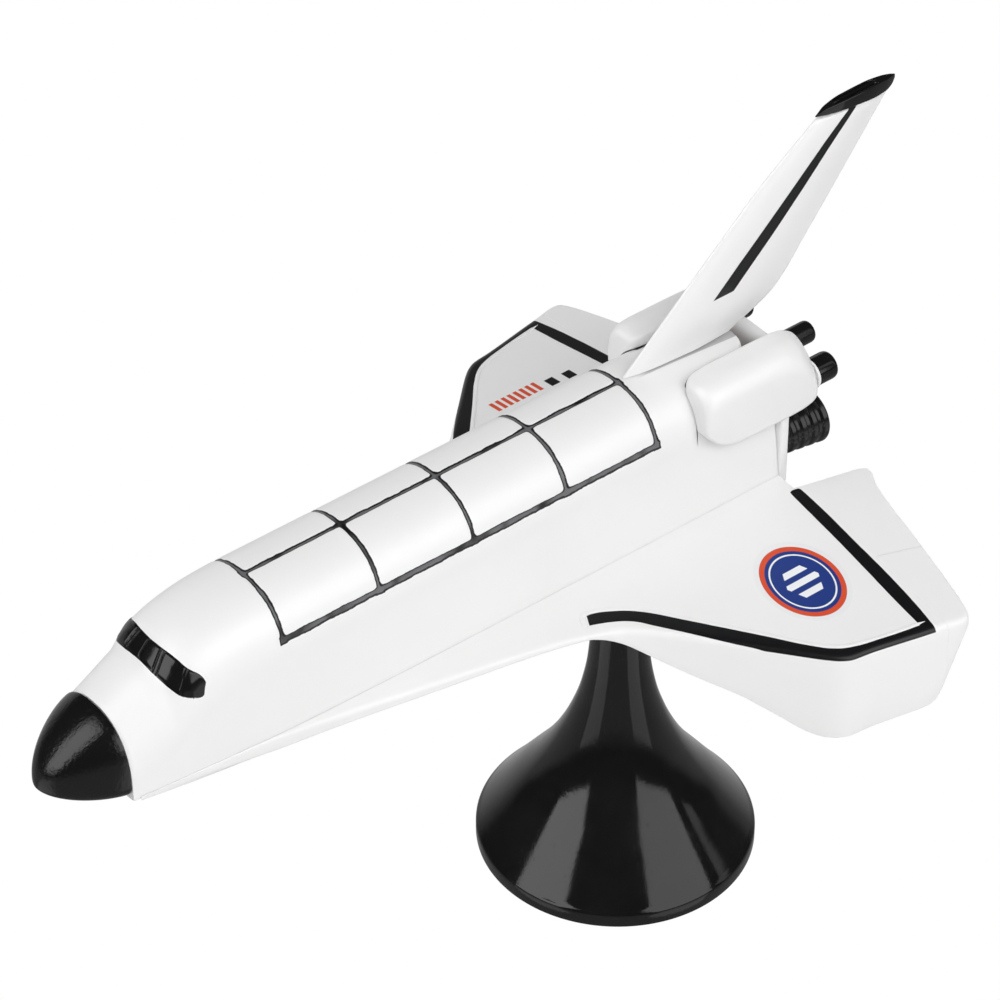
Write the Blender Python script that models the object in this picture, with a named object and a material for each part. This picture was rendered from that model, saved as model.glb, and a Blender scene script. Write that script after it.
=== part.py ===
# A toy space shuttle on a flared black display stand, as separate moulded pieces.
#
# Every size below is in millimetres and becomes metres when a mesh is made. x runs across the toy, with the
# shuttle's left side at +x. "Station" is the distance behind the nose tip, along +Y. "Height" is measured up
# from the table that the stand rests on. The origin is on the table, at the middle of the toy's length.

import math

import bmesh
import bpy
from mathutils import Matrix, Vector

MM = 0.001

# Driving dimensions
LENGTH = 230.0          # nose tip to the rear corner of the fin's cap
HULL_TOP = 134.0        # top of the cargo bay above the table
SEAM_HEIGHT = 102.0     # lower rim of the upper hull
BELLY_HEIGHT = 98.0     # flat underside of the body
WALL = 1.8              # moulded wall of the upper hull
GAP = 0.3               # clearance between pieces that touch
CAP_STATION = 15.5      # rear face of the nose cap
BAY_FRONT = 53.5        # first black line of the cargo bay
HULL_REAR = 186.7       # rear wall of the upper hull
SPINE_REAR = 188.5      # rounded rear end of the spine that carries the fin
POD_FRONT = 164.4       # front edge of an engine pod
POD_REAR = 196.2        # rear face of an engine pod
SPINE_HALF = 7.7        # half the width of the spine between the pods
POD_FLOOR = 117.4       # underside of a pod
STAND_STATION = 155.6   # axis of the stand
STAND_RADIUS = 32.3     # foot of the stand
BEYOND = 40.0           # how far a cutting block reaches past the body's sides
BELOW = 90.0            # and the heights between which it cuts
ABOVE = 145.0
ROUND_STEPS = 32        # sides of a turned piece

WHITE = ("white_plastic", (0.88, 0.88, 0.885), 0.22)
BLACK = ("black_plastic", (0.012, 0.012, 0.013), 0.18)


# Helpers

def spot(x, station, height):
    """A point in metres from a place on the toy in millimetres."""
    return Vector((x, station - LENGTH / 2, height)) * MM


def plastic(finish):
    """The material for one moulded plastic, made once."""
    name, colour, roughness = finish
    made = bpy.data.materials.get(name)
    if made is None:
        made = bpy.data.materials.new(name)
        made.use_nodes = True
        shader = made.node_tree.nodes["Principled BSDF"]
        shader.inputs["Base Color"].default_value = (*colour, 1.0)
        shader.inputs["Roughness"].default_value = roughness
        shader.inputs["Metallic"].default_value = 0.0
    return made


def add_object(name, bm, finish, smooth_angle=35.0):
    """Turns a finished bmesh into a named object with its material."""
    bmesh.ops.recalc_face_normals(bm, faces=bm.faces)
    mesh = bpy.data.meshes.new(name)
    bm.to_mesh(mesh)
    bm.free()
    mesh.shade_smooth()
    mesh.set_sharp_from_angle(angle=math.radians(smooth_angle))
    mesh.materials.append(plastic(finish))
    made = bpy.data.objects.new(name, mesh)
    bpy.context.scene.collection.objects.link(made)
    return made


def loft(rings):
    """A closed solid through rings of points, each ring in the same order."""
    bm = bmesh.new()
    rows = [[bm.verts.new(spot(*point)) for point in ring] for ring in rings]
    count = len(rows[0])
    for row, following in zip(rows, rows[1:]):
        for i in range(count):
            j = (i + 1) % count
            bm.faces.new((row[i], row[j], following[j], following[i]))
    bm.faces.new(rows[0])
    bm.faces.new(reversed(rows[-1]))
    return bm


def turned(profile, centre, along, steps=ROUND_STEPS):
    """A solid of revolution. The profile holds (distance along the axis, radius), from the axis to the axis."""
    bm = bmesh.new()
    side = Vector((1.0, 0.0, 0.0))
    verts = [bm.verts.new((centre + along * reach + side * radius) * MM) for reach, radius in profile]
    edges = [bm.edges.new(pair) for pair in zip(verts, verts[1:])]
    bmesh.ops.spin(bm, geom=verts + edges, cent=centre * MM, axis=along, angle=math.tau,
                   steps=steps, use_merge=True)
    bmesh.ops.remove_doubles(bm, verts=bm.verts, dist=1e-7)
    return bm


def block(low, high):
    """A box between two corners given as (x, station, height)."""
    bm = bmesh.new()
    a = spot(*low)
    b = spot(*high)
    bmesh.ops.create_cube(bm, size=1.0, matrix=Matrix.LocRotScale((a + b) / 2, None, b - a))
    return bm


def cutter(name, bm):
    """A guide object that only cuts another piece."""
    made = add_object(name, bm, WHITE)
    made.hide_render = True
    made.display_type = "WIRE"
    return made


def combine(target, other, operation):
    """Adds a Boolean modifier that cuts, joins or intersects target with other."""
    modifier = target.modifiers.new(other.name, "BOOLEAN")
    modifier.operation = operation
    modifier.solver = "EXACT"
    modifier.object = other
    return modifier


def smooth_value(table, station, column):
    """A value between the rows of a table of frames, on a curve with no overshoot."""
    rows = [(row[0], row[column]) for row in table]
    if station <= rows[0][0]:
        return rows[0][1]
    if station >= rows[-1][0]:
        return rows[-1][1]
    slopes = [(b[1] - a[1]) / (b[0] - a[0]) for a, b in zip(rows, rows[1:])]
    tangents = [slopes[0]]
    for before, after in zip(slopes, slopes[1:]):
        same_way = before * after > 0
        tangents.append(2 * before * after / (before + after) if same_way else 0.0)
    tangents.append(slopes[-1])
    i = max(k for k in range(len(slopes)) if station >= rows[k][0])
    span = rows[i + 1][0] - rows[i][0]
    t = (station - rows[i][0]) / span
    return ((2 * t**3 - 3 * t**2 + 1) * rows[i][1] + (t**3 - 2 * t**2 + t) * span * tangents[i]
            + (3 * t**2 - 2 * t**3) * rows[i + 1][1] + (t**3 - t**2) * span * tangents[i + 1])


# Hull frames: station, top height, shoulder half width, shoulder depth, half width at the seam, squareness
HULL_FRAMES = [
    (CAP_STATION, 120.0, 12.2, 15.5, 12.4, 2.25),
    (20.5, 122.2, 12.5, 15.7, 12.8, 2.3),
    (24.5, 124.2, 12.7, 15.8, 13.1, 2.35),
    (26.5, 125.5, 12.8, 15.8, 13.2, 2.4),
    (29.5, 128.6, 13.0, 15.6, 13.5, 2.4),
    (31.5, 130.2, 13.2, 15.4, 13.6, 2.4),
    (37.5, 132.4, 13.4, 15.2, 14.0, 2.45),
    (45.5, 133.7, 13.7, 15.0, 14.5, 2.45),
    (BAY_FRONT, HULL_TOP, 13.9, 15.0, 15.0, 2.45),
    (76.5, HULL_TOP, 13.9, 15.0, 15.6, 2.45),
    (107.8, HULL_TOP, 13.9, 15.0, 16.0, 2.45),
    (155.0, HULL_TOP, 13.9, 15.0, 16.2, 2.45),
    (SPINE_REAR, 131.6, 13.9, 13.0, 16.3, 2.45),
]
EXTRA_STATIONS = [22.5, 25.5, 27.5, 28.5, 34.5, 41.5, 49.5, 162.0, 170.0, 178.0]
SHOULDER_STEPS = 10


def seam_half_width(station):
    return smooth_value(HULL_FRAMES, station, 4)


def hull_half_section(station, inset=0.0, floor=SEAM_HEIGHT):
    """Points of one frame from the top centre to the seam, moved inwards by inset."""
    top = smooth_value(HULL_FRAMES, station, 1) - inset
    half = smooth_value(HULL_FRAMES, station, 2) - inset
    depth = smooth_value(HULL_FRAMES, station, 3) - inset
    seam = seam_half_width(station) - inset
    power = 2.0 / smooth_value(HULL_FRAMES, station, 5)
    points = []
    for i in range(SHOULDER_STEPS + 1):
        angle = math.pi / 2 * i / SHOULDER_STEPS
        points.append((half * math.sin(angle) ** power, top - depth * (1 - math.cos(angle) ** power)))
    points.append((seam, floor))
    return points


def hull_ring(station, inset=0.0, floor=SEAM_HEIGHT):
    half = hull_half_section(station, inset, floor)
    left = [(x, station, height) for x, height in half]
    right = [(-x, station, height) for x, height in reversed(half[1:])]
    return left + right


def hull_stations(first, last):
    between = [frame[0] for frame in HULL_FRAMES] + EXTRA_STATIONS
    return [first] + sorted(s for s in between if first + 0.5 < s < last - 0.5) + [last]


# Upper hull: one thin moulded shell, open below, that narrows to a spine behind its rear wall
def make_upper_hull():
    outer = loft([hull_ring(s) for s in hull_stations(CAP_STATION, SPINE_REAR)])
    hull = add_object("upper_hull", outer, WHITE)
    hollow = loft([hull_ring(s, WALL, SEAM_HEIGHT - 5.0)
                   for s in hull_stations(CAP_STATION + WALL, HULL_REAR - WALL)])
    combine(hull, cutter("hull_hollow", hollow), "DIFFERENCE")
    under_spine = block((-BEYOND, HULL_REAR, BELOW), (BEYOND, LENGTH, SPINE_FLOOR))
    combine(hull, cutter("under_spine", under_spine), "DIFFERENCE")
    beside_left = block((SPINE_HALF, HULL_REAR, BELOW), (BEYOND, LENGTH, ABOVE))
    combine(hull, cutter("beside_spine_left", beside_left), "DIFFERENCE")
    beside_right = block((-BEYOND, HULL_REAR, BELOW), (-SPINE_HALF, LENGTH, ABOVE))
    combine(hull, cutter("beside_spine_right", beside_right), "DIFFERENCE")


# Belly pan: the flat plate that closes the hull from below, with a hole for the stand's peg
PAN_TOP = SEAM_HEIGHT - GAP
PEG_RADIUS = 4.0
PEG_TOP = 100.4
NOSE_RISE = 2.2         # how much the underside rises at the nose
NOSE_TUCK = 3.0         # and how much it narrows there
PAN_TUCK = 0.3          # how much the underside is narrower than the pan's top elsewhere
KNEE_IN = 0.4           # share of the tuck at the side's knee
KNEE_UP = 0.3           # and the share of the pan's height at which the knee sits


def belly_height(station):
    """The underside, which rises towards the nose."""
    share = max(0.0, (BAY_FRONT - station) / (BAY_FRONT - CAP_STATION))
    return BELLY_HEIGHT + NOSE_RISE * share ** 1.5


def pan_ring(station):
    half = seam_half_width(station)
    low = belly_height(station)
    tuck = PAN_TUCK + NOSE_TUCK * (low - BELLY_HEIGHT) / NOSE_RISE
    knee = (half - KNEE_IN * tuck, low + KNEE_UP * (PAN_TOP - low))
    side = [(half, PAN_TOP), knee, (half - tuck, low)]
    left = [(x, station, height) for x, height in side]
    right = [(-x, station, height) for x, height in reversed(side)]
    return left + right


def make_belly_pan():
    pan = add_object("belly_pan", loft([pan_ring(s) for s in hull_stations(CAP_STATION, HULL_REAR)]), WHITE)
    up = Vector((0, 0, 1))
    centre = Vector((0, STAND_STATION - LENGTH / 2, BELLY_HEIGHT - 2.0))
    hole_radius = PEG_RADIUS + GAP
    depth = PEG_TOP + GAP + 2.0 - BELLY_HEIGHT
    hole = turned([(0, 0), (0, hole_radius), (depth, hole_radius), (depth, 0)], centre, up)
    combine(pan, cutter("peg_hole", hole), "DIFFERENCE")


# Wings: each is one moulding with its chine along the body, its deep outer skirt and its moulded elevons
WING_DROOP = 0.16           # how far the upper face drops for each millimetre outboard
WING_ROOT_HEIGHT = 104.0    # the upper face carried in to the centre line
WING_EDGE = [               # station, outer edge of the upper face, outer edge and height of the lower rim
    (42.0, 14.9, 14.9, 98.3),
    (54.5, 16.3, 16.3, BELLY_HEIGHT),
    (87.5, 22.0, 22.2, BELLY_HEIGHT),
    (113.5, 27.1, 27.3, BELLY_HEIGHT),
    (121.2, 29.3, 29.5, BELLY_HEIGHT),
    (124.5, 30.4, 30.7, 97.2),
    (128.5, 32.3, 32.7, 95.2),
    (133.0, 35.4, 36.2, 91.8),
    (137.3, 39.2, 40.2, 88.6),
    (141.8, 43.6, 44.4, 85.4),
    (147.6, 49.2, 50.0, 81.6),
    (153.2, 54.6, 55.6, 76.8),
    (158.5, 59.8, 61.0, 72.4),
    (161.0, 62.1, 63.6, 71.6),
    (163.2, 63.8, 65.2, 71.5),
    (165.5, 64.9, 66.1, 71.5),
    (170.0, 65.6, 66.6, 71.5),
    (176.0, 66.8, 67.8, 71.6),
    (186.5, 69.0, 70.0, 71.7),
]
ELEVON_EDGE = [             # station, inner edge, outer edge of the upper face, outer edge and height below it
    (186.8, 21.0, 69.1, 70.0, 71.8),
    (194.1, 22.7, 70.4, 70.4, 90.4),
    (195.7, 23.0, 67.3, 67.3, 91.0),
    (199.5, 23.8, 49.3, 49.3, 93.9),
    (203.0, 24.6, 30.8, 30.8, 96.8),
    (204.6, 25.6, 27.2, 27.2, 97.4),
]
ELEVON_THICK = 2.2


def wing_top(x):
    return WING_ROOT_HEIGHT - WING_DROOP * x


def wing_ring(side, station, inner, outer, rim, inner_low, outer_low):
    corners = [(inner, wing_top(inner)), (outer, wing_top(outer)), (rim, outer_low), (inner, inner_low)]
    return [(side * x, station, height) for x, height in corners]


def make_wing(side, name):
    rings = []
    for station, outer, rim, low in WING_EDGE:
        inner = seam_half_width(station) + GAP
        rings.append(wing_ring(side, station, inner, outer, rim, BELLY_HEIGHT, low))
    for station, inner, outer, rim, low in ELEVON_EDGE:
        share = (station - ELEVON_EDGE[0][0]) / (ELEVON_EDGE[-1][0] - ELEVON_EDGE[0][0])
        thin = wing_top(inner) - ELEVON_THICK
        inner_low = BELLY_HEIGHT + (thin - BELLY_HEIGHT) * share
        rings.append(wing_ring(side, station, inner, outer, rim, inner_low, low))
    add_object(name, loft(rings), WHITE)


# Nose cap: a pointed black dome that carries on the hull's frame
NOSE_RINGS = 10
NOSE_AXIS = 105.3       # height of the tip
NOSE_HALF = 12.2        # half width of the cap's rear face
NOSE_TOP = 119.9        # top and bottom of that face
NOSE_BOTTOM = 100.2
NOSE_SQUARE = 2.4       # above 2 the cap's rings are squarer than an oval
NOSE_FULL = 1.36        # how soon the cap reaches its full width behind the tip
NOSE_BLUNT = 1.7        # how flat its tip is


def nose_ring(share):
    """One ring of the cap, at a share of the way from its tip to its rear face."""
    scale = (1.0 - (1.0 - share) ** NOSE_FULL) ** (1 / NOSE_BLUNT)
    station = (CAP_STATION - GAP) * share
    points = []
    for i in range(ROUND_STEPS):
        angle = math.tau * i / ROUND_STEPS
        x = NOSE_HALF * math.copysign(abs(math.sin(angle)) ** (2 / NOSE_SQUARE), math.sin(angle))
        rise = math.copysign(abs(math.cos(angle)) ** (2 / NOSE_SQUARE), math.cos(angle))
        reach = NOSE_TOP - NOSE_AXIS if rise > 0 else NOSE_AXIS - NOSE_BOTTOM
        points.append((x * scale, station, NOSE_AXIS + scale * rise * reach))
    return points


def make_nose_cap():
    rings = [nose_ring(max(0.004, i / NOSE_RINGS) ** 1.6) for i in range(NOSE_RINGS + 1)]
    add_object("nose_cap", loft(rings), BLACK)


# Window band: one black strip that wraps the flight deck, cut from a thin shell over the hull
BAND_PROUD = 0.8
BAND_OUTLINE = [            # station and height, seen from the side
    (24.3, 126.8),
    (26.2, 125.9),
    (26.5, 125.4),
    (26.9, 124.5),
    (27.2, 123.8),
    (27.6, 123.1),
    (28.3, 122.6),
    (29.6, 122.2),
    (31.2, 121.8),
    (32.8, 121.5),
    (33.9, 122.1),
    (34.5, 123.4),
    (34.5, 124.3),
    (34.0, 125.6),
    (32.9, 126.7),
    (31.2, 127.3),
    (30.2, 127.8),
    (29.5, 128.4),
    (29.3, 129.4),
    (27.8, 131.0),
]


def make_window_band():
    stations = [22.0, 23.5] + hull_stations(24.5, 37.5)
    band = add_object("window_band", loft([hull_ring(s, -BAND_PROUD) for s in stations]), BLACK)
    inside = loft([hull_ring(s, -GAP) for s in [21.0] + stations + [39.0]])
    strip = loft([[(x, station, height) for station, height in BAND_OUTLINE] for x in (-20.0, 20.0)])
    combine(band, cutter("band_outline", strip), "INTERSECT")
    combine(band, cutter("band_inside", inside), "DIFFERENCE")


# Engine pods: rounded blocks on the hull's rear shoulders, each with a white collar and a black nozzle
POD_FRAMES = [              # station, inner edge, top, outer edge, corner width, corner height, roundness, lift
    (POD_FRONT, 9.8, 133.6, 16.3, 4.9, 5.5, 2.0, 4.2),
    (165.2, 8.8, 134.4, 17.0, 5.3, 5.3, 2.0, 3.4),
    (167.0, 8.2, 135.0, 17.4, 5.2, 5.2, 2.0, 2.0),
    (170.0, 8.0, 135.3, 17.5, 5.2, 5.2, 2.0, 0.6),
    (173.0, 8.0, 135.3, 17.6, 5.2, 5.2, 2.0, 0.0),
    (187.0, 8.0, 135.2, 17.7, 5.6, 5.6, 2.0, 0.0),
    (191.5, 8.0, 134.6, 17.8, 6.6, 7.0, 1.9, 0.2),
    (194.6, 8.0, 133.0, 17.7, 8.6, 9.0, 1.7, 0.8),
    (195.7, 8.0, 132.0, 17.5, 8.5, 9.8, 1.6, 1.4),
    (POD_REAR, 8.0, 131.2, 17.0, 8.0, 9.6, 1.55, 2.2),
]
POD_EDGE = 0.9              # rounding of a pod's inner upper edge
POD_UNDER = 1.4             # rounding of its outer lower edge
NOZZLE_AXIS = (14.0, 123.5)      # x and height of a pod nozzle
COLLAR_RADIUS = 2.95
NOZZLE_RADIUS = 2.75
COLLAR_END = 198.2
NOZZLE_END = 202.3
NOZZLE_ROUND = 0.7
BORE_DEPTH = 1.6


def corner(x, height, across, up, start, roundness=2.0, steps=4):
    """A quarter turn about (x, height) that starts at the given angle and goes clockwise."""
    points = []
    for i in range(steps + 1):
        angle = math.radians(start - 90 * i / steps)
        run = math.copysign(abs(math.cos(angle)) ** (2 / roundness), math.cos(angle))
        rise = math.copysign(abs(math.sin(angle)) ** (2 / roundness), math.sin(angle))
        points.append((x + across * run, height + up * rise))
    return points


def pod_ring(side, station, inner, top, outer, across, up, roundness, lift):
    low = POD_FLOOR + lift
    outline = corner(inner + POD_EDGE, top - POD_EDGE, POD_EDGE, POD_EDGE, 180)
    outline += corner(outer - across, top - up, across, up, 90, roundness, 10)
    outline += corner(outer - POD_UNDER, low + POD_UNDER, POD_UNDER, POD_UNDER, 0)
    outline.append((inner, low))
    return [(side * x, station, height) for x, height in outline]


def make_pod(side, name):
    pod = add_object(f"pod_{name}", loft([pod_ring(side, *frame) for frame in POD_FRAMES]), WHITE)
    seat = loft([hull_ring(s, -GAP) for s in hull_stations(POD_FRONT - 5.0, HULL_REAR + GAP)])
    combine(pod, cutter(f"pod_seat_{name}", seat), "DIFFERENCE")
    aft = Vector((0, 1, 0))
    centre = Vector((side * NOZZLE_AXIS[0], -LENGTH / 2, NOZZLE_AXIS[1]))
    collar_start = POD_REAR + GAP
    collar = [(collar_start, 0), (collar_start, COLLAR_RADIUS), (COLLAR_END, COLLAR_RADIUS), (COLLAR_END, 0)]
    add_object(f"nozzle_collar_{name}", turned(collar, centre, aft), WHITE)
    start = COLLAR_END + GAP
    nozzle = plain_nozzle(start, NOZZLE_END, NOZZLE_RADIUS)
    add_object(f"pod_nozzle_{name}", turned(nozzle, centre, aft), BLACK)


# Rear plate: closes the hull's rear and carries the main engines, with a block between the pods
SPINE_FLOOR = 127.8         # underside of the spine's overhang
PLATE_THICK = 2.5
MOUNT_TOP = 127.5
MOUNT_REAR = 195.5
MOUNT_FLOOR = 114.6


def make_rear_plate():
    front = HULL_REAR + GAP
    plate = block((-16.2, front, BELLY_HEIGHT + 0.2), (16.2, front + PLATE_THICK, POD_FLOOR - GAP))
    made = add_object("rear_plate", plate, WHITE)
    half = SPINE_HALF - 0.1
    mount = block((-half, front, MOUNT_FLOOR), (half, MOUNT_REAR, MOUNT_TOP))
    combine(made, cutter("engine_mount", mount), "UNION")


# Main engines: two ribbed bells side by side and a plain one above them
BELL_AXIS = (7.5, 104.7)
BELL_START_RADIUS = 4.6
BELL_END_RADIUS = 6.3
BELL_END = 203.6
BELL_RIBS = 5
TOP_ENGINE_HEIGHT = 120.9
TOP_ENGINE_RADIUS = 2.6
TOP_ENGINE_END = 208.9


def bell_profile(start, end):
    """The outside of a ribbed bell: a widening tube with a raised ring at even steps."""
    points = [(start, 0.0)]
    pitch = (end - start) / BELL_RIBS
    for i in range(BELL_RIBS):
        for share, rise in ((0.0, 0.0), (0.35, 0.0), (0.5, 0.45), (0.85, 0.45)):
            reach = start + pitch * (i + share)
            along = (reach - start) / (end - start)
            points.append((reach, BELL_START_RADIUS + (BELL_END_RADIUS - BELL_START_RADIUS) * along + rise))
    points.append((end, BELL_END_RADIUS - 0.1))
    points.append((end, BELL_END_RADIUS - 1.1))
    points.append((end - 4.0, BELL_END_RADIUS - 2.2))
    points.append((end - 4.0, 0.0))
    return points


def plain_nozzle(start, end, radius):
    """A smooth tube with a rounded rim and a shallow bore."""
    return [(start, 0), (start, radius), (end - NOZZLE_ROUND, radius), (end, radius - NOZZLE_ROUND),
            (end, radius - 0.9), (end - BORE_DEPTH, radius - 1.1), (end - BORE_DEPTH, 0)]


def make_engines():
    aft = Vector((0, 1, 0))
    start = HULL_REAR + GAP + PLATE_THICK + GAP
    for side, name in ((1, "left"), (-1, "right")):
        centre = Vector((side * BELL_AXIS[0], -LENGTH / 2, BELL_AXIS[1]))
        add_object(f"main_engine_{name}", turned(bell_profile(start, BELL_END), centre, aft), BLACK)
    centre = Vector((0, -LENGTH / 2, TOP_ENGINE_HEIGHT))
    top_engine = plain_nozzle(MOUNT_REAR + GAP, TOP_ENGINE_END, TOP_ENGINE_RADIUS)
    add_object("main_engine_top", turned(top_engine, centre, aft), BLACK)


# Tail fin: a thin swept blade on the spine, with a black lens-shaped cap at its tip
FIN_FRAMES = [              # station and height in front, station and height behind, half thickness
    (154.8, 134.4, 184.6, 132.8, 1.35),
    (163.5, 142.2, 190.5, 135.2, 1.35),
    (169.0, 147.2, 196.2, 137.9, 1.35),
    (175.9, 153.5, 200.4, 141.7, 1.35),
    (182.0, 158.9, 205.2, 148.0, 1.35),
    (192.2, 167.9, 211.2, 155.7, 1.3),
    (207.4, 178.9, 228.0, 177.9, 1.2),
]
FIN_EDGE = 0.3              # half thickness of its front and rear edges
CAP_FRAMES = [              # station, bottom, top, half width below, half width above
    (207.4, 179.5, 179.8, 0.15, 0.15),
    (210.3, 179.3, 181.0, 0.95, 0.8),
    (215.2, 179.0, 181.4, 1.6, 1.4),
    (222.2, 178.5, 181.5, 1.75, 1.5),
    (226.5, 178.4, 181.4, 1.3, 1.1),
    (229.0, 178.9, 181.2, 0.6, 0.5),
    (LENGTH, 179.8, 180.9, 0.2, 0.2),
]


def fin_ring(front, front_height, rear, rear_height, half):
    points = []
    for share, thick in ((0.0, FIN_EDGE), (0.12, 0.75 * half), (0.35, half), (0.6, half), (1.0, FIN_EDGE)):
        station = front + (rear - front) * share
        height = front_height + (rear_height - front_height) * share
        points.append((thick, station, height))
    return points + [(-x, station, height) for x, station, height in reversed(points)]


def make_fin():
    add_object("tail_fin", loft([fin_ring(*frame) for frame in FIN_FRAMES]), WHITE, 20.0)
    rings = []
    for station, low, top, below, above in CAP_FRAMES:
        rings.append([(-below, station, low), (below, station, low), (above, station, top),
                      (-above, station, top)])
    add_object("fin_cap", loft(rings), BLACK, 30.0)


# Stand: a flared foot, a slim neck and a peg that plugs into the belly
STAND_PROFILE = [           # height, radius
    (0.0, 31.9),
    (0.4, STAND_RADIUS),
    (3.3, STAND_RADIUS),
    (4.2, 31.6),
    (9.0, 28.0),
    (15.0, 23.6),
    (21.0, 19.2),
    (28.0, 15.0),
    (36.0, 11.4),
    (45.0, 8.6),
    (54.0, 7.1),
    (62.0, 6.6),
]
NECK_RADIUS = 6.4


def make_stand():
    top = BELLY_HEIGHT - GAP
    profile = [(0.0, 0.0)] + STAND_PROFILE
    profile += [(top, NECK_RADIUS), (top, PEG_RADIUS), (PEG_TOP, PEG_RADIUS), (PEG_TOP, 0.0)]
    centre = Vector((0, STAND_STATION - LENGTH / 2, 0))
    add_object("display_stand", turned(profile, centre, Vector((0, 0, 1)), 48), BLACK)


def main():
    for old in list(bpy.data.objects):
        bpy.data.objects.remove(old)
    make_upper_hull()
    make_belly_pan()
    make_wing(1, "wing_left")
    make_wing(-1, "wing_right")
    make_nose_cap()
    make_window_band()
    make_pod(1, "left")
    make_pod(-1, "right")
    make_rear_plate()
    make_engines()
    make_fin()
    make_stand()


main()
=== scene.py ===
import math

import bmesh
import bpy
from mathutils import Matrix, Vector


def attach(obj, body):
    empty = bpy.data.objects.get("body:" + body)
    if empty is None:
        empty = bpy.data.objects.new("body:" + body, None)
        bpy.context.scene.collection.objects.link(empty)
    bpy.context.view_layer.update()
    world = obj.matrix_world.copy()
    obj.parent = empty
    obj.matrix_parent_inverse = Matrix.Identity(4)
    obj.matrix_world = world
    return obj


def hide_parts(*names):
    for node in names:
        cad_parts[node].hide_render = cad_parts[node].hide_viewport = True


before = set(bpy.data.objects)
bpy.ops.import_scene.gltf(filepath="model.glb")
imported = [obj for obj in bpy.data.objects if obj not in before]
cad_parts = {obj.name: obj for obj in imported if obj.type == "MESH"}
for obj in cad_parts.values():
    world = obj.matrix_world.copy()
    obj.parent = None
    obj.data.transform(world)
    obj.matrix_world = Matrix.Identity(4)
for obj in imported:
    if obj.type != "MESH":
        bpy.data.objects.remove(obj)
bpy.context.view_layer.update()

# The toy space shuttle and its stand. Sizes are in millimetres and become metres when a mesh is made. x runs across
# the toy, with the shuttle's left side at +x. A station is the distance behind the nose tip, and a height is
# measured from the table.

MM = 0.001
LENGTH = 230.0
HULL_TOP = 134.0
SEAM_HEIGHT = 101.5
BELLY_HEIGHT = 98.0
GAP = 0.3
CAP_STATION = 15.5
BAY_FRONT = 53.5
BAY_REAR = 153.5
DOOR_PITCH = 25.0
HULL_REAR = 186.7
POD_FLOOR = 117.4
STAND_STATION = 155.6


# Mesh helpers

def spot(x, station, height):
    """A point in metres from a place on the toy in millimetres."""
    return Vector((x, station - LENGTH / 2, height)) * MM


def blend_value(low, high, share):
    return low + (high - low) * share


def ease(low, high, value):
    """0 below low, 1 above high and a smooth step between them."""
    share = min(1.0, max(0.0, (value - low) / (high - low)))
    return share * share * (3 - 2 * share)


def spread(first, last, count):
    """Evenly spaced values from first to last, both included."""
    return [first + (last - first) * i / (count - 1) for i in range(count)]


def smooth_value(table, place, column):
    """A value between the rows of a table, on a curve with no overshoot."""
    rows = [(row[0], row[column]) for row in table]
    if place <= rows[0][0]:
        return rows[0][1]
    if place >= rows[-1][0]:
        return rows[-1][1]
    slopes = [(b[1] - a[1]) / (b[0] - a[0]) for a, b in zip(rows, rows[1:])]
    tangents = [slopes[0]]
    for before, after in zip(slopes, slopes[1:]):
        tangents.append(2 * before * after / (before + after) if before * after > 0 else 0.0)
    tangents.append(slopes[-1])
    i = max(k for k in range(len(slopes)) if place >= rows[k][0])
    span = rows[i + 1][0] - rows[i][0]
    t = (place - rows[i][0]) / span
    return ((2 * t**3 - 3 * t**2 + 1) * rows[i][1] + (t**3 - 2 * t**2 + t) * span * tangents[i]
            + (3 * t**2 - 2 * t**3) * rows[i + 1][1] + (t**3 - t**2) * span * tangents[i + 1])


def laid_grid(rows, closed):
    """A sheet of quads through rows of points, from a grid whose corners are moved into place. A closed one joins up."""
    bm = bmesh.new()
    across = len(rows[0]) if closed else len(rows[0]) - 1
    made = bmesh.ops.create_grid(bm, x_segments=across, y_segments=len(rows) - 1, size=1.0)
    for vert in made["verts"]:
        i = round((vert.co.x + 1) / 2 * across)
        j = round((vert.co.y + 1) / 2 * (len(rows) - 1))
        vert.co = spot(*rows[j][i % len(rows[0])])
    if closed:
        bmesh.ops.remove_doubles(bm, verts=bm.verts, dist=1e-7)
    return bm


def loft(rings):
    """A closed solid through rings of points."""
    bm = laid_grid(rings, closed=True)
    bmesh.ops.holes_fill(bm, edges=bm.edges, sides=0)
    return bm


def turned(profile, centre, along, steps=96):
    """A solid of revolution. The profile holds (distance along the axis, radius), from the axis to the axis."""
    bm = bmesh.new()
    side = Vector((1.0, 0.0, 0.0))
    verts = [bm.verts.new((centre + along * reach + side * radius) * MM) for reach, radius in profile]
    edges = [bm.edges.new(pair) for pair in zip(verts, verts[1:])]
    bmesh.ops.spin(bm, geom=verts + edges, cent=centre * MM, axis=along, angle=math.tau,
                   steps=steps, use_merge=True)
    bmesh.ops.remove_doubles(bm, verts=bm.verts, dist=1e-7)
    return bm


def rounded_block(low, high, radius, segments=4):
    """A box between two corners given as (x, station, height), with rounded edges."""
    bm = bmesh.new()
    a = spot(*low)
    b = spot(*high)
    bmesh.ops.create_cube(bm, size=1.0, matrix=Matrix.LocRotScale((a + b) / 2, None, b - a))
    bmesh.ops.bevel(bm, geom=bm.edges, offset=radius * MM, segments=segments, profile=0.5, affect="EDGES",
                    material=-1)
    return bm


def bend(start, corner, end, steps=5):
    """Points on a curve from start to end that rounds off the corner between them."""
    points = []
    for share in spread(0.0, 1.0, steps + 1):
        points.append(tuple(a * (1 - share) ** 2 + 2 * b * share * (1 - share) + c * share ** 2
                            for a, b, c in zip(start, corner, end)))
    return points


def toward(start, end, distance):
    """A point at a distance from start on the way to end, but never past the middle."""
    length = math.dist(start, end)
    share = min(0.49, distance / length) if length > 0 else 0.0
    return tuple(blend_value(a, b, share) for a, b in zip(start, end))


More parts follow.
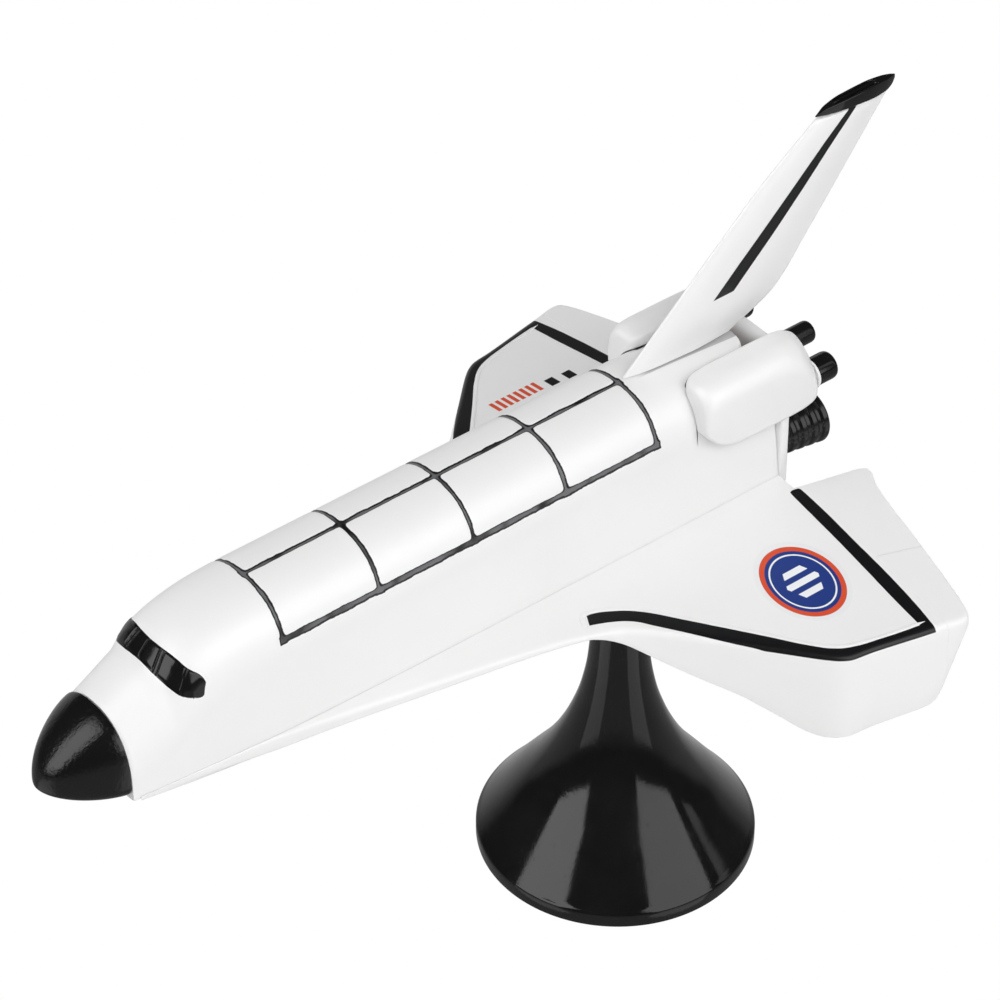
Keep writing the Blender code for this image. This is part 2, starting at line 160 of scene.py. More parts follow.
def rounded_outline(corners, radii, steps=5):
    """A closed outline through flat corner points, each rounded by its own radius."""
    points = []
    for i, (corner, radius) in enumerate(zip(corners, radii)):
        before = toward(corner, corners[i - 1], radius)
        after = toward(corner, corners[(i + 1) % len(corners)], radius)
        points += bend(before, corner, after, steps)
    return points


def add_piece(name, bm, material, nodes, sharp=40.0):
    """Turns a finished bmesh into a piece of the toy that stands for the named CAD nodes."""
    bmesh.ops.recalc_face_normals(bm, faces=bm.faces)
    mesh = bpy.data.meshes.new(name)
    bm.to_mesh(mesh)
    bm.free()
    mesh.shade_smooth()
    mesh.set_sharp_from_angle(angle=math.radians(sharp))
    mesh.materials.append(material)
    piece = bpy.data.objects.new(name, mesh)
    bpy.context.scene.collection.objects.link(piece)
    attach(piece, "root")
    if nodes:
        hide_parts(*nodes)
    return piece


# Node helpers

def put(tree, kind, inputs=None, **settings):
    """A node with its settings and inputs. An input is a plain value or the output of another node."""
    made = tree.nodes.new(kind)
    for name, value in settings.items():
        setattr(made, name, value)
    for key, value in (inputs or {}).items():
        if isinstance(value, bpy.types.NodeSocket):
            tree.links.new(value, made.inputs[key])
        else:
            made.inputs[key].default_value = value
    return made


def calc(tree, operation, *values):
    """The output of a Math node."""
    return put(tree, "ShaderNodeMath", dict(enumerate(values)), operation=operation).outputs[0]


def between(tree, value, low, high):
    """1 where a value lies between two limits."""
    above = calc(tree, "GREATER_THAN", value, low)
    below = calc(tree, "LESS_THAN", value, high)
    return calc(tree, "MULTIPLY", above, below)


def fade(tree, value, start, end):
    """Runs smoothly from 0 at start to 1 at end. End may be the smaller of the two."""
    made = put(tree, "ShaderNodeMapRange", {"Value": value, "From Min": start, "From Max": end},
               interpolation_type="SMOOTHSTEP")
    return made.outputs["Result"]


def mixed(tree, share, first, second):
    """A mix of two colours."""
    made = put(tree, "ShaderNodeMix", {"Factor": share, "A": first, "B": second}, data_type="RGBA")
    colours = [s for s in made.inputs if s.type == "RGBA"]
    for socket, value in zip(colours, (first, second)):
        if isinstance(value, bpy.types.NodeSocket):
            tree.links.new(value, socket)
        else:
            socket.default_value = value
    return [s for s in made.outputs if s.type == "RGBA"][0]


def position(tree):
    """The x, y and height of the point that is shaded, in millimetres, and the same as a vector in metres."""
    place = put(tree, "ShaderNodeTexCoord").outputs["Object"]
    parts = put(tree, "ShaderNodeSeparateXYZ", {0: place})
    x, y, height = (calc(tree, "MULTIPLY", part, 1 / MM) for part in parts.outputs)
    station = calc(tree, "ADD", y, LENGTH / 2)
    return x, station, height, place


def curve_value(tree, value, points, straight=False):
    """A value read off a curve drawn through points of (input, output)."""
    first, last = points[0][0], points[-1][0]
    low = min(p[1] for p in points)
    high = max(p[1] for p in points)
    share = calc(tree, "DIVIDE", calc(tree, "SUBTRACT", value, first), last - first)
    made = put(tree, "ShaderNodeFloatCurve", {"Value": share})
    curve = made.mapping.curves[0]
    places = [((p[0] - first) / (last - first), (p[1] - low) / (high - low)) for p in points]
    while len(curve.points) < len(places):
        curve.points.new(0.5, 0.5)
    for point, place in zip(curve.points, places):
        point.location = place
        point.handle_type = "VECTOR" if straight else "AUTO"
    made.mapping.update()
    return calc(tree, "ADD", calc(tree, "MULTIPLY", made.outputs[0], high - low), low)


def new_group(name, inputs, outputs):
    """A shader node group with named sockets. Each input is (name, kind, value)."""
    tree = bpy.data.node_groups.new(name, "ShaderNodeTree")
    for label, kind, value in inputs:
        socket = tree.interface.new_socket(name=label, in_out="INPUT", socket_type=kind)
        if value is not None:
            socket.default_value = value
    for label, kind in outputs:
        tree.interface.new_socket(name=label, in_out="OUTPUT", socket_type=kind)
    return tree, tree.nodes.new("NodeGroupInput"), tree.nodes.new("NodeGroupOutput")


def use_group(tree, group, inputs):
    made = tree.nodes.new("ShaderNodeGroup")
    made.node_tree = group
    for key, value in inputs.items():
        if isinstance(value, bpy.types.NodeSocket):
            tree.links.new(value, made.inputs[key])
        else:
            made.inputs[key].default_value = value
    return made


def moulded_plastic_group():
    """Moulded plastic: slow ripples from the mould, fine grain, faint handling scratches and their dullness."""
    tree, given, result = new_group(
        "moulded_plastic",
        [("Place", "NodeSocketVector", None), ("Ripple", "NodeSocketFloat", 0.5),
         ("Grain", "NodeSocketFloat", 0.3), ("Scratches", "NodeSocketFloat", 0.2)],
        [("Height", "NodeSocketFloat"), ("Dullness", "NodeSocketFloat"), ("Tone", "NodeSocketFloat")])
    place = given.outputs["Place"]
    ripple = put(tree, "ShaderNodeTexNoise", {"Vector": place, "Scale": 70.0, "Detail": 2.0, "Roughness": 0.4})
    grain = put(tree, "ShaderNodeTexNoise", {"Vector": place, "Scale": 1300.0, "Detail": 3.0, "Roughness": 0.6})
    stretched = put(tree, "ShaderNodeMapping", {"Vector": place, "Rotation": (0.9, 0.5, 0.3),
                                                "Scale": (1500.0, 1500.0, 70.0)})
    scratch = put(tree, "ShaderNodeTexNoise", {"Vector": stretched.outputs[0], "Scale": 1.0, "Detail": 4.0,
                                               "Roughness": 0.7})
    lines = fade(tree, scratch.outputs[0], 0.63, 0.74)
    patches = put(tree, "ShaderNodeTexNoise", {"Vector": place, "Scale": 45.0, "Detail": 4.0, "Roughness": 0.6})
    handled = fade(tree, patches.outputs[0], 0.45, 0.7)
    worn = calc(tree, "MULTIPLY", calc(tree, "MULTIPLY", lines, handled), given.outputs["Scratches"])
    height = calc(tree, "MULTIPLY", ripple.outputs[0], given.outputs["Ripple"])
    height = calc(tree, "MULTIPLY_ADD", grain.outputs[0], given.outputs["Grain"], height)
    height = calc(tree, "SUBTRACT", height, calc(tree, "MULTIPLY", worn, 0.3))
    dull = calc(tree, "MULTIPLY_ADD", handled, 0.35, calc(tree, "MULTIPLY", worn, 0.8))
    tree.links.new(height, result.inputs["Height"])
    tree.links.new(dull, result.inputs["Dullness"])
    tree.links.new(patches.outputs[0], result.inputs["Tone"])
    return tree


def painted_line_group():
    """A hand painted line: its ragged edge, and a thin grey middle that is a painted highlight, light caught along the
    groove.
    """
    tree, given, result = new_group(
        "painted_line",
        [("Place", "NodeSocketVector", None), ("Distance", "NodeSocketFloat", 1.0),
         ("Half Width", "NodeSocketFloat", 0.5), ("Wobble", "NodeSocketFloat", 0.1)],
        [("Paint", "NodeSocketFloat"), ("Middle", "NodeSocketFloat")])
    wander = put(tree, "ShaderNodeTexNoise", {"Vector": given.outputs["Place"], "Scale": 210.0, "Detail": 3.0})
    ragged = put(tree, "ShaderNodeTexNoise", {"Vector": given.outputs["Place"], "Scale": 900.0, "Detail": 2.0})
    shift = calc(tree, "ADD", calc(tree, "SUBTRACT", wander.outputs[0], 0.5),
                 calc(tree, "MULTIPLY", calc(tree, "SUBTRACT", ragged.outputs[0], 0.5), 0.5))
    distance = calc(tree, "MULTIPLY_ADD", shift, given.outputs["Wobble"], given.outputs["Distance"])
    share = calc(tree, "DIVIDE", distance, given.outputs["Half Width"])
    paint = fade(tree, share, 1.08, 0.92)
    # Painted highlight: a thin grey middle along the line, broken up by noise.
    thin = put(tree, "ShaderNodeTexNoise", {"Vector": given.outputs["Place"], "Scale": 120.0, "Detail": 2.0})
    middle = calc(tree, "MULTIPLY", fade(tree, share, 0.5, 0.25), fade(tree, thin.outputs[0], 0.3, 0.5))
    tree.links.new(paint, result.inputs["Paint"])
    tree.links.new(middle, result.inputs["Middle"])
    return tree


MOULDED = moulded_plastic_group()
PAINTED_LINE = painted_line_group()

WHITE_PLASTIC = (0.83, 0.83, 0.835, 1.0)
WARM_WHITE = (0.80, 0.795, 0.79, 1.0)
BLACK_PLASTIC = (0.006, 0.006, 0.0065, 1.0)
BLACK_DUSTY = (0.012, 0.012, 0.012, 1.0)
LINE_BLACK = (0.006, 0.006, 0.007, 1.0)
# Grey of the painted highlight in the middle of the hull's painted lines
LINE_HIGHLIGHT_GREY = (0.14, 0.14, 0.145, 1.0)
EMBLEM_BLUE = (0.014, 0.04, 0.22, 1.0)
EMBLEM_RED = (0.66, 0.075, 0.025, 1.0)
PRINT_WHITE = (0.82, 0.84, 0.86, 1.0)
FILM_WHITE = (0.76, 0.765, 0.78, 1.0)
SEAM_SHADOW = (0.05, 0.05, 0.052, 1.0)
# Brownish dark used as painted shade on the engine mount behind the spine
RECESS_SHADE = (0.15, 0.13, 0.12, 1.0)
WHITE_ROUGHNESS = (0.3, 0.44)
WHITE_BUMP = 0.00005


def start_material(name, ripple, grain, scratches):
    """A new material with its shader, the shaded position and the moulded surface."""
    material = bpy.data.materials.new(name)
    material.use_nodes = True
    tree = material.node_tree
    shader = tree.nodes["Principled BSDF"]
    x, station, height, place = position(tree)
    surface = use_group(tree, MOULDED, {"Place": place, "Ripple": ripple, "Grain": grain,
                                        "Scratches": scratches})
    return material, tree, shader, (x, station, height, place), surface


def finish_material(tree, shader, surface, colour, roughness, bump, relief=None):
    """Joins a colour, a roughness range and the surface height to the shader."""
    low, high = roughness
    dull = surface.outputs["Dullness"]
    rough = calc(tree, "MULTIPLY_ADD", dull, high - low, low)
    height = surface.outputs["Height"]
    if relief is not None:
        height = calc(tree, "ADD", height, relief)
    bumped = put(tree, "ShaderNodeBump", {"Strength": 1.0, "Distance": bump, "Height": height})
    tree.links.new(colour, shader.inputs["Base Color"])
    tree.links.new(rough, shader.inputs["Roughness"])
    tree.links.new(bumped.outputs[0], shader.inputs["Normal"])
    shader.inputs["IOR"].default_value = 1.5


def white_material(name):
    """Glossy white moulded plastic with no paint on it."""
    material, tree, shader, place, surface = start_material(name, 0.5, 0.06, 0.0)
    colour = mixed(tree, surface.outputs["Tone"], WARM_WHITE, WHITE_PLASTIC)
    finish_material(tree, shader, surface, colour, WHITE_ROUGHNESS, WHITE_BUMP)
    return material


def black_material(name, ripple=0.6, roughness=(0.09, 0.3), grain=0.05):
    """Glossy black moulded plastic."""
    material, tree, shader, place, surface = start_material(name, ripple, grain, 0.9)
    colour = mixed(tree, surface.outputs["Dullness"], BLACK_PLASTIC, BLACK_DUSTY)
    finish_material(tree, shader, surface, colour, roughness, 0.00006)
    return material


DOOR_SIDE_HEIGHT = 124.8    # height of the line along the foot of the bay doors
DOOR_LINE_HALF = 0.58       # half widths of the lines between the doors and along their foot
SIDE_LINE_HALF = 0.8
# The painted shade in the crack beside the left pod, as station and distance from the centre line, and where the right
# pod's painted shade begins
LEFT_CRACK_SHADE = [(165.2, 8.9), (166.2, 7.4), (168.0, 6.75), (172.0, 6.4), (186.7, 6.3)]
RIGHT_CRACK_SHADE = (-7.7, -7.9)
LINE_POOLING = 1.6          # how far the paint runs into the corners where two lines meet


def hull_material():
    """White hull with the hand painted lines round and between the bay doors, a painted highlight in the middle of
    those lines, and painted shade in the crack beside the pods, in the recess behind the shelf and along the fin's
    root.
    """
    material, tree, shader, (x, station, height, place), surface = start_material("hull_white", 0.5, 0.06, 0.0)
    half_bay = (BAY_REAR - BAY_FRONT) / 2
    from_middle = calc(tree, "ABSOLUTE", calc(tree, "SUBTRACT", station, BAY_FRONT + half_bay))
    past_end = calc(tree, "MAXIMUM", calc(tree, "SUBTRACT", from_middle, half_bay), 0.0)
    below_doors = calc(tree, "MAXIMUM", calc(tree, "SUBTRACT", DOOR_SIDE_HEIGHT, height), 0.0)
    centre = calc(tree, "MAXIMUM", calc(tree, "ABSOLUTE", x), past_end)
    side = calc(tree, "MAXIMUM", calc(tree, "ABSOLUTE", calc(tree, "SUBTRACT", height, DOOR_SIDE_HEIGHT)),
                past_end)
    cross = calc(tree, "PINGPONG", calc(tree, "SUBTRACT", station, BAY_FRONT), DOOR_PITCH / 2)
    cross = calc(tree, "MAXIMUM", cross, below_doors)
    cross = calc(tree, "MAXIMUM", cross, past_end)
    side = calc(tree, "SUBTRACT", side, SIDE_LINE_HALF - DOOR_LINE_HALF)
    nearest = calc(tree, "SMOOTH_MIN", centre, cross, LINE_POOLING)
    nearest = calc(tree, "SMOOTH_MIN", nearest, side, LINE_POOLING)
    drawn = use_group(tree, PAINTED_LINE, {"Place": place, "Distance": nearest, "Half Width": DOOR_LINE_HALF,
                                           "Wobble": 0.6})
    paint = drawn.outputs["Paint"]
    # Painted highlight: the grey middle of each line stands in for light caught in its groove.
    line = mixed(tree, drawn.outputs["Middle"], LINE_BLACK, LINE_HIGHLIGHT_GREY)
    plain = mixed(tree, surface.outputs["Tone"], WARM_WHITE, WHITE_PLASTIC)
    colour = mixed(tree, paint, plain, line)
    out = calc(tree, "ABSOLUTE", x)
    # Painted shade: darkened towards SEAM_SHADOW in the crack beside the pods, in the recess behind the shelf and, more
    # faintly, along the fin's root.
    beside = calc(tree, "SUBTRACT", x, curve_value(tree, station, LEFT_CRACK_SHADE))
    crack_shade = calc(tree, "MAXIMUM", fade(tree, beside, 0.0, 0.15), fade(tree, x, *RIGHT_CRACK_SHADE))
    crack_shade = calc(tree, "MULTIPLY", crack_shade, fade(tree, station, LEFT_CRACK_SHADE[0][0], LEFT_CRACK_SHADE[0][0] + 0.4))
    crack_shade = calc(tree, "MULTIPLY", crack_shade, fade(tree, height, 128.0, 129.0))
    shelf_shade = calc(tree, "MULTIPLY", fade(tree, station, SHELF_STATION - 0.1, SHELF_STATION),
                  calc(tree, "LESS_THAN", out, SHELF_HALF))
    shelf_shade = calc(tree, "MULTIPLY", shelf_shade, fade(tree, height, 130.9, 130.4))
    fin_root_shade = calc(tree, "MULTIPLY", fade(tree, out, 1.85, 1.5), fade(tree, station, 157.0, 162.0))
    crack_shade = calc(tree, "MAXIMUM", calc(tree, "MAXIMUM", crack_shade, shelf_shade), calc(tree, "MULTIPLY", fin_root_shade, 0.45))
    finish_material(tree, shader, surface, mixed(tree, crack_shade, colour, SEAM_SHADOW), WHITE_ROUGHNESS, WHITE_BUMP,
                    calc(tree, "MULTIPLY", paint, 0.5))
    return material


# Wing marks, as distances from the centre line and stations
LINE_OUTER = [(123.4, 27.2), (129.5, 29.7), (132.6, 31.8), (135.3, 34.9), (139.0, 39.2), (144.8, 45.9),
              (150.5, 51.9), (157.1, 58.9), (160.9, 62.3), (164.6, 64.9), (171.6, 66.6), (185.6, 69.6)]
LINE_INNER = [(123.4, 25.2), (124.8, 24.8), (126.2, 25.0), (130.4, 26.8), (135.1, 30.0), (141.6, 36.9),
              (147.5, 43.5), (153.4, 50.1), (159.7, 57.3), (163.4, 60.7), (166.8, 62.5), (174.4, 64.4),
              (185.6, 66.4)]
HINGE_FRONT = [(21.4, 185.9), (22.0, 185.2), (29.3, 185.0), (37.3, 184.8), (48.5, 184.3), (58.7, 183.8),
               (66.0, 183.6), (71.0, 183.4)]
HINGE_REAR = [(21.4, 186.2), (22.2, 187.9), (29.7, 188.1), (37.7, 187.9), (52.6, 187.5), (69.8, 185.8),
              (71.0, 185.6)]
LINE_FRONT = 137.2          # the line's front end lies at this station less its slant times the distance from the centre
LINE_SLANT = 0.5
STEP_LINE = (46.1, 189.0, 0.31)     # the fine step across the elevon: where it starts and how it slants
WING_DROOP = 0.16
WING_ROOT_HEIGHT = 104.0
EMBLEM_CENTRE = (42.8, 170.5)
EMBLEM_HALF = (10.4, 8.9)
BAR_PITCH = 1.71
BAR_FIRST = 156.3
BAR_COUNT = 8


def emblem(tree, x, station, colour):
    """A round print: a red rim on a blue disc with a white ring and three white bars."""
    across = calc(tree, "DIVIDE", calc(tree, "SUBTRACT", x, EMBLEM_CENTRE[0]), EMBLEM_HALF[0])
    along = calc(tree, "DIVIDE", calc(tree, "SUBTRACT", station, EMBLEM_CENTRE[1]), EMBLEM_HALF[1])
    radius = calc(tree, "SQRT", calc(tree, "ADD", calc(tree, "MULTIPLY", across, across),
                                     calc(tree, "MULTIPLY", along, along)))
    disc = fade(tree, radius, 1.005, 0.99)
    rim = calc(tree, "MULTIPLY", disc, fade(tree, radius, 0.865, 0.88))
    ring = calc(tree, "MULTIPLY", fade(tree, radius, 0.735, 0.745), fade(tree, radius, 0.785, 0.775))
    band = calc(tree, "PINGPONG", across, 0.15)
    bars = calc(tree, "MULTIPLY", fade(tree, band, 0.085, 0.075), fade(tree, calc(tree, "ABSOLUTE", across), 0.4, 0.38))
    reach = calc(tree, "SUBTRACT", 0.5, calc(tree, "MULTIPLY", calc(tree, "ABSOLUTE", across), 0.6))
    bars = calc(tree, "MULTIPLY", bars, calc(tree, "LESS_THAN", calc(tree, "ABSOLUTE", along), reach))
    white = calc(tree, "MAXIMUM", ring, bars)
    print_colour = mixed(tree, rim, EMBLEM_BLUE, EMBLEM_RED)
    print_colour = mixed(tree, white, print_colour, PRINT_WHITE)
    film = fade(tree, radius, 1.13, 1.12)
    around = mixed(tree, calc(tree, "MULTIPLY", film, 0.5), colour, FILM_WHITE)
    return mixed(tree, disc, around, print_colour), film


def tail_bars(tree, x, station, colour):
    """Short red bars in a row, with two plain dark blocks behind them."""
    pitch = calc(tree, "PINGPONG", calc(tree, "SUBTRACT", station, BAR_FIRST), BAR_PITCH / 2)
    row = calc(tree, "MULTIPLY", fade(tree, pitch, 0.55, 0.45), between(tree, x, -47.4, -43.4))
    row_end = BAR_FIRST + BAR_PITCH * (BAR_COUNT - 0.5)
    row = calc(tree, "MULTIPLY", row, between(tree, station, BAR_FIRST - BAR_PITCH / 2, row_end))
    first = calc(tree, "MULTIPLY", between(tree, x, -46.1, -42.9), between(tree, station, 170.8, 173.2))
    second = calc(tree, "MULTIPLY", between(tree, x, -45.6, -42.5), between(tree, station, 175.4, 177.8))
    blocks = calc(tree, "MAXIMUM", first, second)
    return mixed(tree, blocks, mixed(tree, row, colour, EMBLEM_RED), LINE_BLACK)


def wing_material():
    """White wing with its black outline, the round print on the left wing and the row of bars on the right."""
    material, tree, shader, (x, station, height, place), surface = start_material("wing_white", 0.5, 0.06, 0.0)
    out = calc(tree, "ABSOLUTE", x)
    outer = curve_value(tree, station, LINE_OUTER)
    inner = curve_value(tree, station, LINE_INNER)
    edge = calc(tree, "MINIMUM", calc(tree, "SUBTRACT", outer, out), calc(tree, "SUBTRACT", out, inner))
    line_front = calc(tree, "MULTIPLY_ADD", out, -LINE_SLANT, LINE_FRONT)
    edge = calc(tree, "MINIMUM", edge, calc(tree, "SUBTRACT", station, line_front))
    edge = calc(tree, "MINIMUM", edge, calc(tree, "SUBTRACT", LINE_OUTER[-1][0], station))
    front = curve_value(tree, out, HINGE_FRONT)
    rear = curve_value(tree, out, HINGE_REAR)
    hinge = calc(tree, "MINIMUM", calc(tree, "SUBTRACT", rear, station), calc(tree, "SUBTRACT", station, front))
    hinge = calc(tree, "MINIMUM", hinge, calc(tree, "SUBTRACT", out, HINGE_FRONT[0][0]))
    inside = calc(tree, "MAXIMUM", edge, hinge)
    ragged = put(tree, "ShaderNodeTexNoise", {"Vector": place, "Scale": 350.0, "Detail": 2.0})
    inside = calc(tree, "MULTIPLY_ADD", calc(tree, "SUBTRACT", ragged.outputs[0], 0.5), 0.12, inside)
    paint = fade(tree, inside, -0.04, 0.04)
    face = calc(tree, "MULTIPLY_ADD", out, -WING_DROOP, WING_ROOT_HEIGHT)
    on_top = fade(tree, calc(tree, "SUBTRACT", face, height), 1.1, 0.9)
    paint = calc(tree, "MULTIPLY", paint, on_top)
    plain = mixed(tree, surface.outputs["Tone"], WARM_WHITE, WHITE_PLASTIC)
    colour, film = emblem(tree, x, station, plain)
    colour = tail_bars(tree, x, station, colour)
    colour = mixed(tree, on_top, plain, colour)
    colour = mixed(tree, paint, colour, LINE_BLACK)
    relief = calc(tree, "MULTIPLY_ADD", paint, -1.2, calc(tree, "MULTIPLY", film, 0.5))
    step_out, step_front, step_slant = STEP_LINE
    step_x = calc(tree, "MULTIPLY_ADD", calc(tree, "SUBTRACT", station, step_front), step_slant, step_out)
    step = calc(tree, "MULTIPLY", fade(tree, calc(tree, "SUBTRACT", out, step_x), -0.15, 0.15),
                fade(tree, station, step_front - 0.2, step_front))
    relief = calc(tree, "MULTIPLY_ADD", step, 1.4, relief)
    finish_material(tree, shader, surface, colour, WHITE_ROUGHNESS, WHITE_BUMP, relief)
    return material


RUDDER_FRONT = [(144.4, 178.8), (150.9, 185.7), (158.2, 193.7), (165.6, 201.7), (173.1, 209.7), (178.3, 215.7)]
RUDDER_REAR = [(144.4, 184.6), (148.9, 189.2), (155.0, 195.6), (163.0, 203.5), (170.7, 210.7), (178.3, 218.1)]


def fin_material():
    """White fin with the black line in front of its rudder."""
    material, tree, shader, (x, station, height, place), surface = start_material("fin_white", 0.5, 0.06, 0.0)
    front = curve_value(tree, height, RUDDER_FRONT, straight=True)
    rear = curve_value(tree, height, RUDDER_REAR, straight=True)
    inside = calc(tree, "MINIMUM", calc(tree, "SUBTRACT", station, front), calc(tree, "SUBTRACT", rear, station))
    inside = calc(tree, "MINIMUM", inside, calc(tree, "SUBTRACT", height, RUDDER_FRONT[0][0]))
    ragged = put(tree, "ShaderNodeTexNoise", {"Vector": place, "Scale": 350.0, "Detail": 2.0})
    inside = calc(tree, "MULTIPLY_ADD", calc(tree, "SUBTRACT", ragged.outputs[0], 0.5), 0.15, inside)
    paint = fade(tree, inside, -0.04, 0.04)
    plain = mixed(tree, surface.outputs["Tone"], WARM_WHITE, WHITE_PLASTIC)
    finish_material(tree, shader, surface, mixed(tree, paint, plain, LINE_BLACK), WHITE_ROUGHNESS, WHITE_BUMP,
                    calc(tree, "MULTIPLY", paint, -1.0))
    return material


# Upper hull: station, top height, shoulder half width, shoulder depth, half width at the seam, squareness
HULL_FRAMES = [
    (CAP_STATION, 120.0, 12.2, 15.5, 12.4, 2.25),
    (20.5, 122.5, 12.5, 15.7, 12.8, 2.3),
    (24.5, 124.6, 12.7, 15.8, 13.1, 2.35),
    (26.5, 125.5, 12.8, 15.8, 13.2, 2.4),
    (29.5, 128.6, 13.0, 15.6, 13.5, 2.4),
    (31.5, 130.2, 13.2, 15.4, 13.6, 2.4),
    (37.5, 132.4, 13.4, 15.2, 14.0, 2.45),
    (45.5, 133.7, 13.7, 15.0, 14.5, 2.45),
    (BAY_FRONT, HULL_TOP, 13.9, 15.0, 15.0, 2.45),
    (76.5, HULL_TOP, 13.9, 15.0, 15.6, 2.45),
    (107.8, HULL_TOP, 13.9, 15.0, 16.0, 2.45),
    (155.0, HULL_TOP, 13.9, 15.0, 16.2, 2.45),
    (188.5, 131.6, 13.9, 13.0, 16.3, 2.45),
]
GROOVE_DEPTH = 0.22
GROOVE_STEPS = (0.26, 0.5, 0.74, 1.05)
SHELF_STATION = 178.0       # behind this the hull's top drops away under the spine
SHELF_HEIGHT = 121.0
SHELF_HALF = 8.4


def hull_value(station, column):
    return smooth_value(HULL_FRAMES, station, column)


def seam_half_width(station):
    return hull_value(station, 4)


def hull_spot(station, angle, proud=0.0):
    """x and height on the hull at an angle of 0 at the top centre and 90 at the shoulder's foot."""
    power = 2.0 / hull_value(station, 5)
    top = hull_value(station, 1) + proud
    half = hull_value(station, 2) + proud
    depth = hull_value(station, 3) + proud
    turn = math.radians(angle)
    return half * math.sin(turn) ** power, top - depth * (1 - max(0.0, math.cos(turn)) ** power)


def hull_angle(station, x):
    """The angle at which the hull has this x."""
    share = min(1.0, abs(x) / hull_value(station, 2))
    return math.degrees(math.asin(share ** (hull_value(station, 5) / 2.0)))


def hull_height(station, x, proud=0.0):
    return hull_spot(station, hull_angle(station, x), proud)[1]


def door_side_angle():
    """The angle of the line along the foot of the bay doors."""
    power = hull_value(BAY_FRONT, 5) / 2.0
    share = 1 - (HULL_TOP - DOOR_SIDE_HEIGHT) / hull_value(BAY_FRONT, 3)
    return math.degrees(math.acos(share ** power))


def hull_angles():
    """Angles of the hull's long edges, closer together beside the painted lines."""
    side = door_side_angle()
    near_top = [hull_angle(BAY_FRONT, x) for x in GROOVE_STEPS]
    near_side = [side] + [side + s * step * 4.0 for step in GROOVE_STEPS for s in (-1, 1)]
    even = [a for a in spread(4.0, 90.0, 40) if abs(a - side) > 4.5]
    return sorted([0.0] + near_top + near_side + even)


def groove_depth(station, x, height):
    """How deep the moulded groove under the painted lines is at a place on the hull."""
    if not BAY_FRONT - 1.2 < station < BAY_REAR + 1.2:
        return 0.0
    past_end = max(0.0, BAY_FRONT - station, station - BAY_REAR)
    below = max(0.0, DOOR_SIDE_HEIGHT - height)
    cross = abs((station - BAY_FRONT + DOOR_PITCH / 2) % DOOR_PITCH - DOOR_PITCH / 2)
    distance = min(max(abs(x), past_end), max(cross, below), max(abs(height - DOOR_SIDE_HEIGHT) * 0.8, past_end))
    return GROOVE_DEPTH * (1 - ease(0.2, 0.76, distance))


def hull_ring(station, angles, inset=0.0):
    """One closed ring of the hull, from the top centre down the left side and back up the right."""
    half = []
    for angle in angles:
        x, height = hull_spot(station, angle, -inset)
        depth = groove_depth(station, x, height)
        turn = math.radians(angle)
        half.append((x - depth * math.sin(turn), height - depth * math.cos(turn)))
    foot = half[-1]
    seam = seam_half_width(station) - inset
    half += [(blend_value(foot[0], seam, share), blend_value(foot[1], SEAM_HEIGHT, share))
             for share in (0.2, 0.45, 0.7, 0.9, 0.98)]
    half.append((seam - 0.05, SEAM_HEIGHT))
    if station > SHELF_STATION:
        half = [(x, min(height, SHELF_HEIGHT)) if x < SHELF_HALF else (x, height) for x, height in half]
    left = [(x, station, height) for x, height in half]
    right = [(-x, station, height) for x, height in reversed(half[1:])]
    return left + right


def hull_stations():
    """Stations of the hull's rings, closer together where it bends and beside the painted lines."""
    stations = spread(CAP_STATION, 40.0, 50) + spread(41.0, HULL_REAR - 0.6, 75)
    for k in range(round((BAY_REAR - BAY_FRONT) / DOOR_PITCH) + 1):
        line = BAY_FRONT + DOOR_PITCH * k
        stations = [s for s in stations if abs(s - line) > 1.2]
        stations += [line] + [line + side * step for step in GROOVE_STEPS for side in (-1, 1)]
    stations += [SHELF_STATION, SHELF_STATION + 0.05]
    return sorted(stations)


def make_hull(material):
    angles = hull_angles()
    rings = [hull_ring(CAP_STATION, angles, 0.12)]
    rings += [hull_ring(station, angles) for station in hull_stations()[1:]]
    rings += [hull_ring(HULL_REAR - 0.25, angles, 0.06), hull_ring(HULL_REAR - 0.06, angles, 0.2),
              hull_ring(HULL_REAR, angles, 0.45)]
    rings[0] = [(x, CAP_STATION, height) for x, station, height in rings[0]]
    add_piece("hull", loft(rings), material, ["upper_hull"])


# The spine: the tongue between the engine pods that carries the fin, with a rounded rear end
SPINE_PLAN = [(172.0, 6.1), (178.0, 6.1), (181.0, 6.0), (183.4, 5.4), (184.8, 4.3), (185.5, 2.6), (185.8, 0.5)]
SPINE_FLOOR = 126.0


def spine_ring(station, half):
    proud = blend_value(-0.1, 0.03, ease(172.0, 174.0, station))
    top = [(x, hull_height(station, x) + proud - 0.3 * ease(half - 0.6, half, abs(x)) * ease(176.0, 178.0, station))
           for x in spread(-half, half, 27)]
    top[0] = (-half, top[1][1] - 0.6)
    top[-1] = (half, top[-2][1] - 0.6)
    outline = top + [(half, SPINE_FLOOR), (-half, SPINE_FLOOR)]
    return [(x, station, height) for x, height in outline]


def make_spine(material):
    stations = spread(172.0, 183.0, 12) + spread(183.4, 185.8, 12)
    rings = [spine_ring(s, smooth_value(SPINE_PLAN, s, 1)) for s in stations]
    add_piece("spine", loft(rings), material, [])


# Belly pan: the flat plate under the hull
NOSE_RISE = 3.0
NOSE_TUCK = 3.0
PAN_TOP = SEAM_HEIGHT - 0.06


def belly_low(station):
    """Height of the underside, which rises towards the nose."""
    share = max(0.0, (BAY_FRONT - station) / (BAY_FRONT - CAP_STATION))
    return BELLY_HEIGHT + NOSE_RISE * share ** 1.5


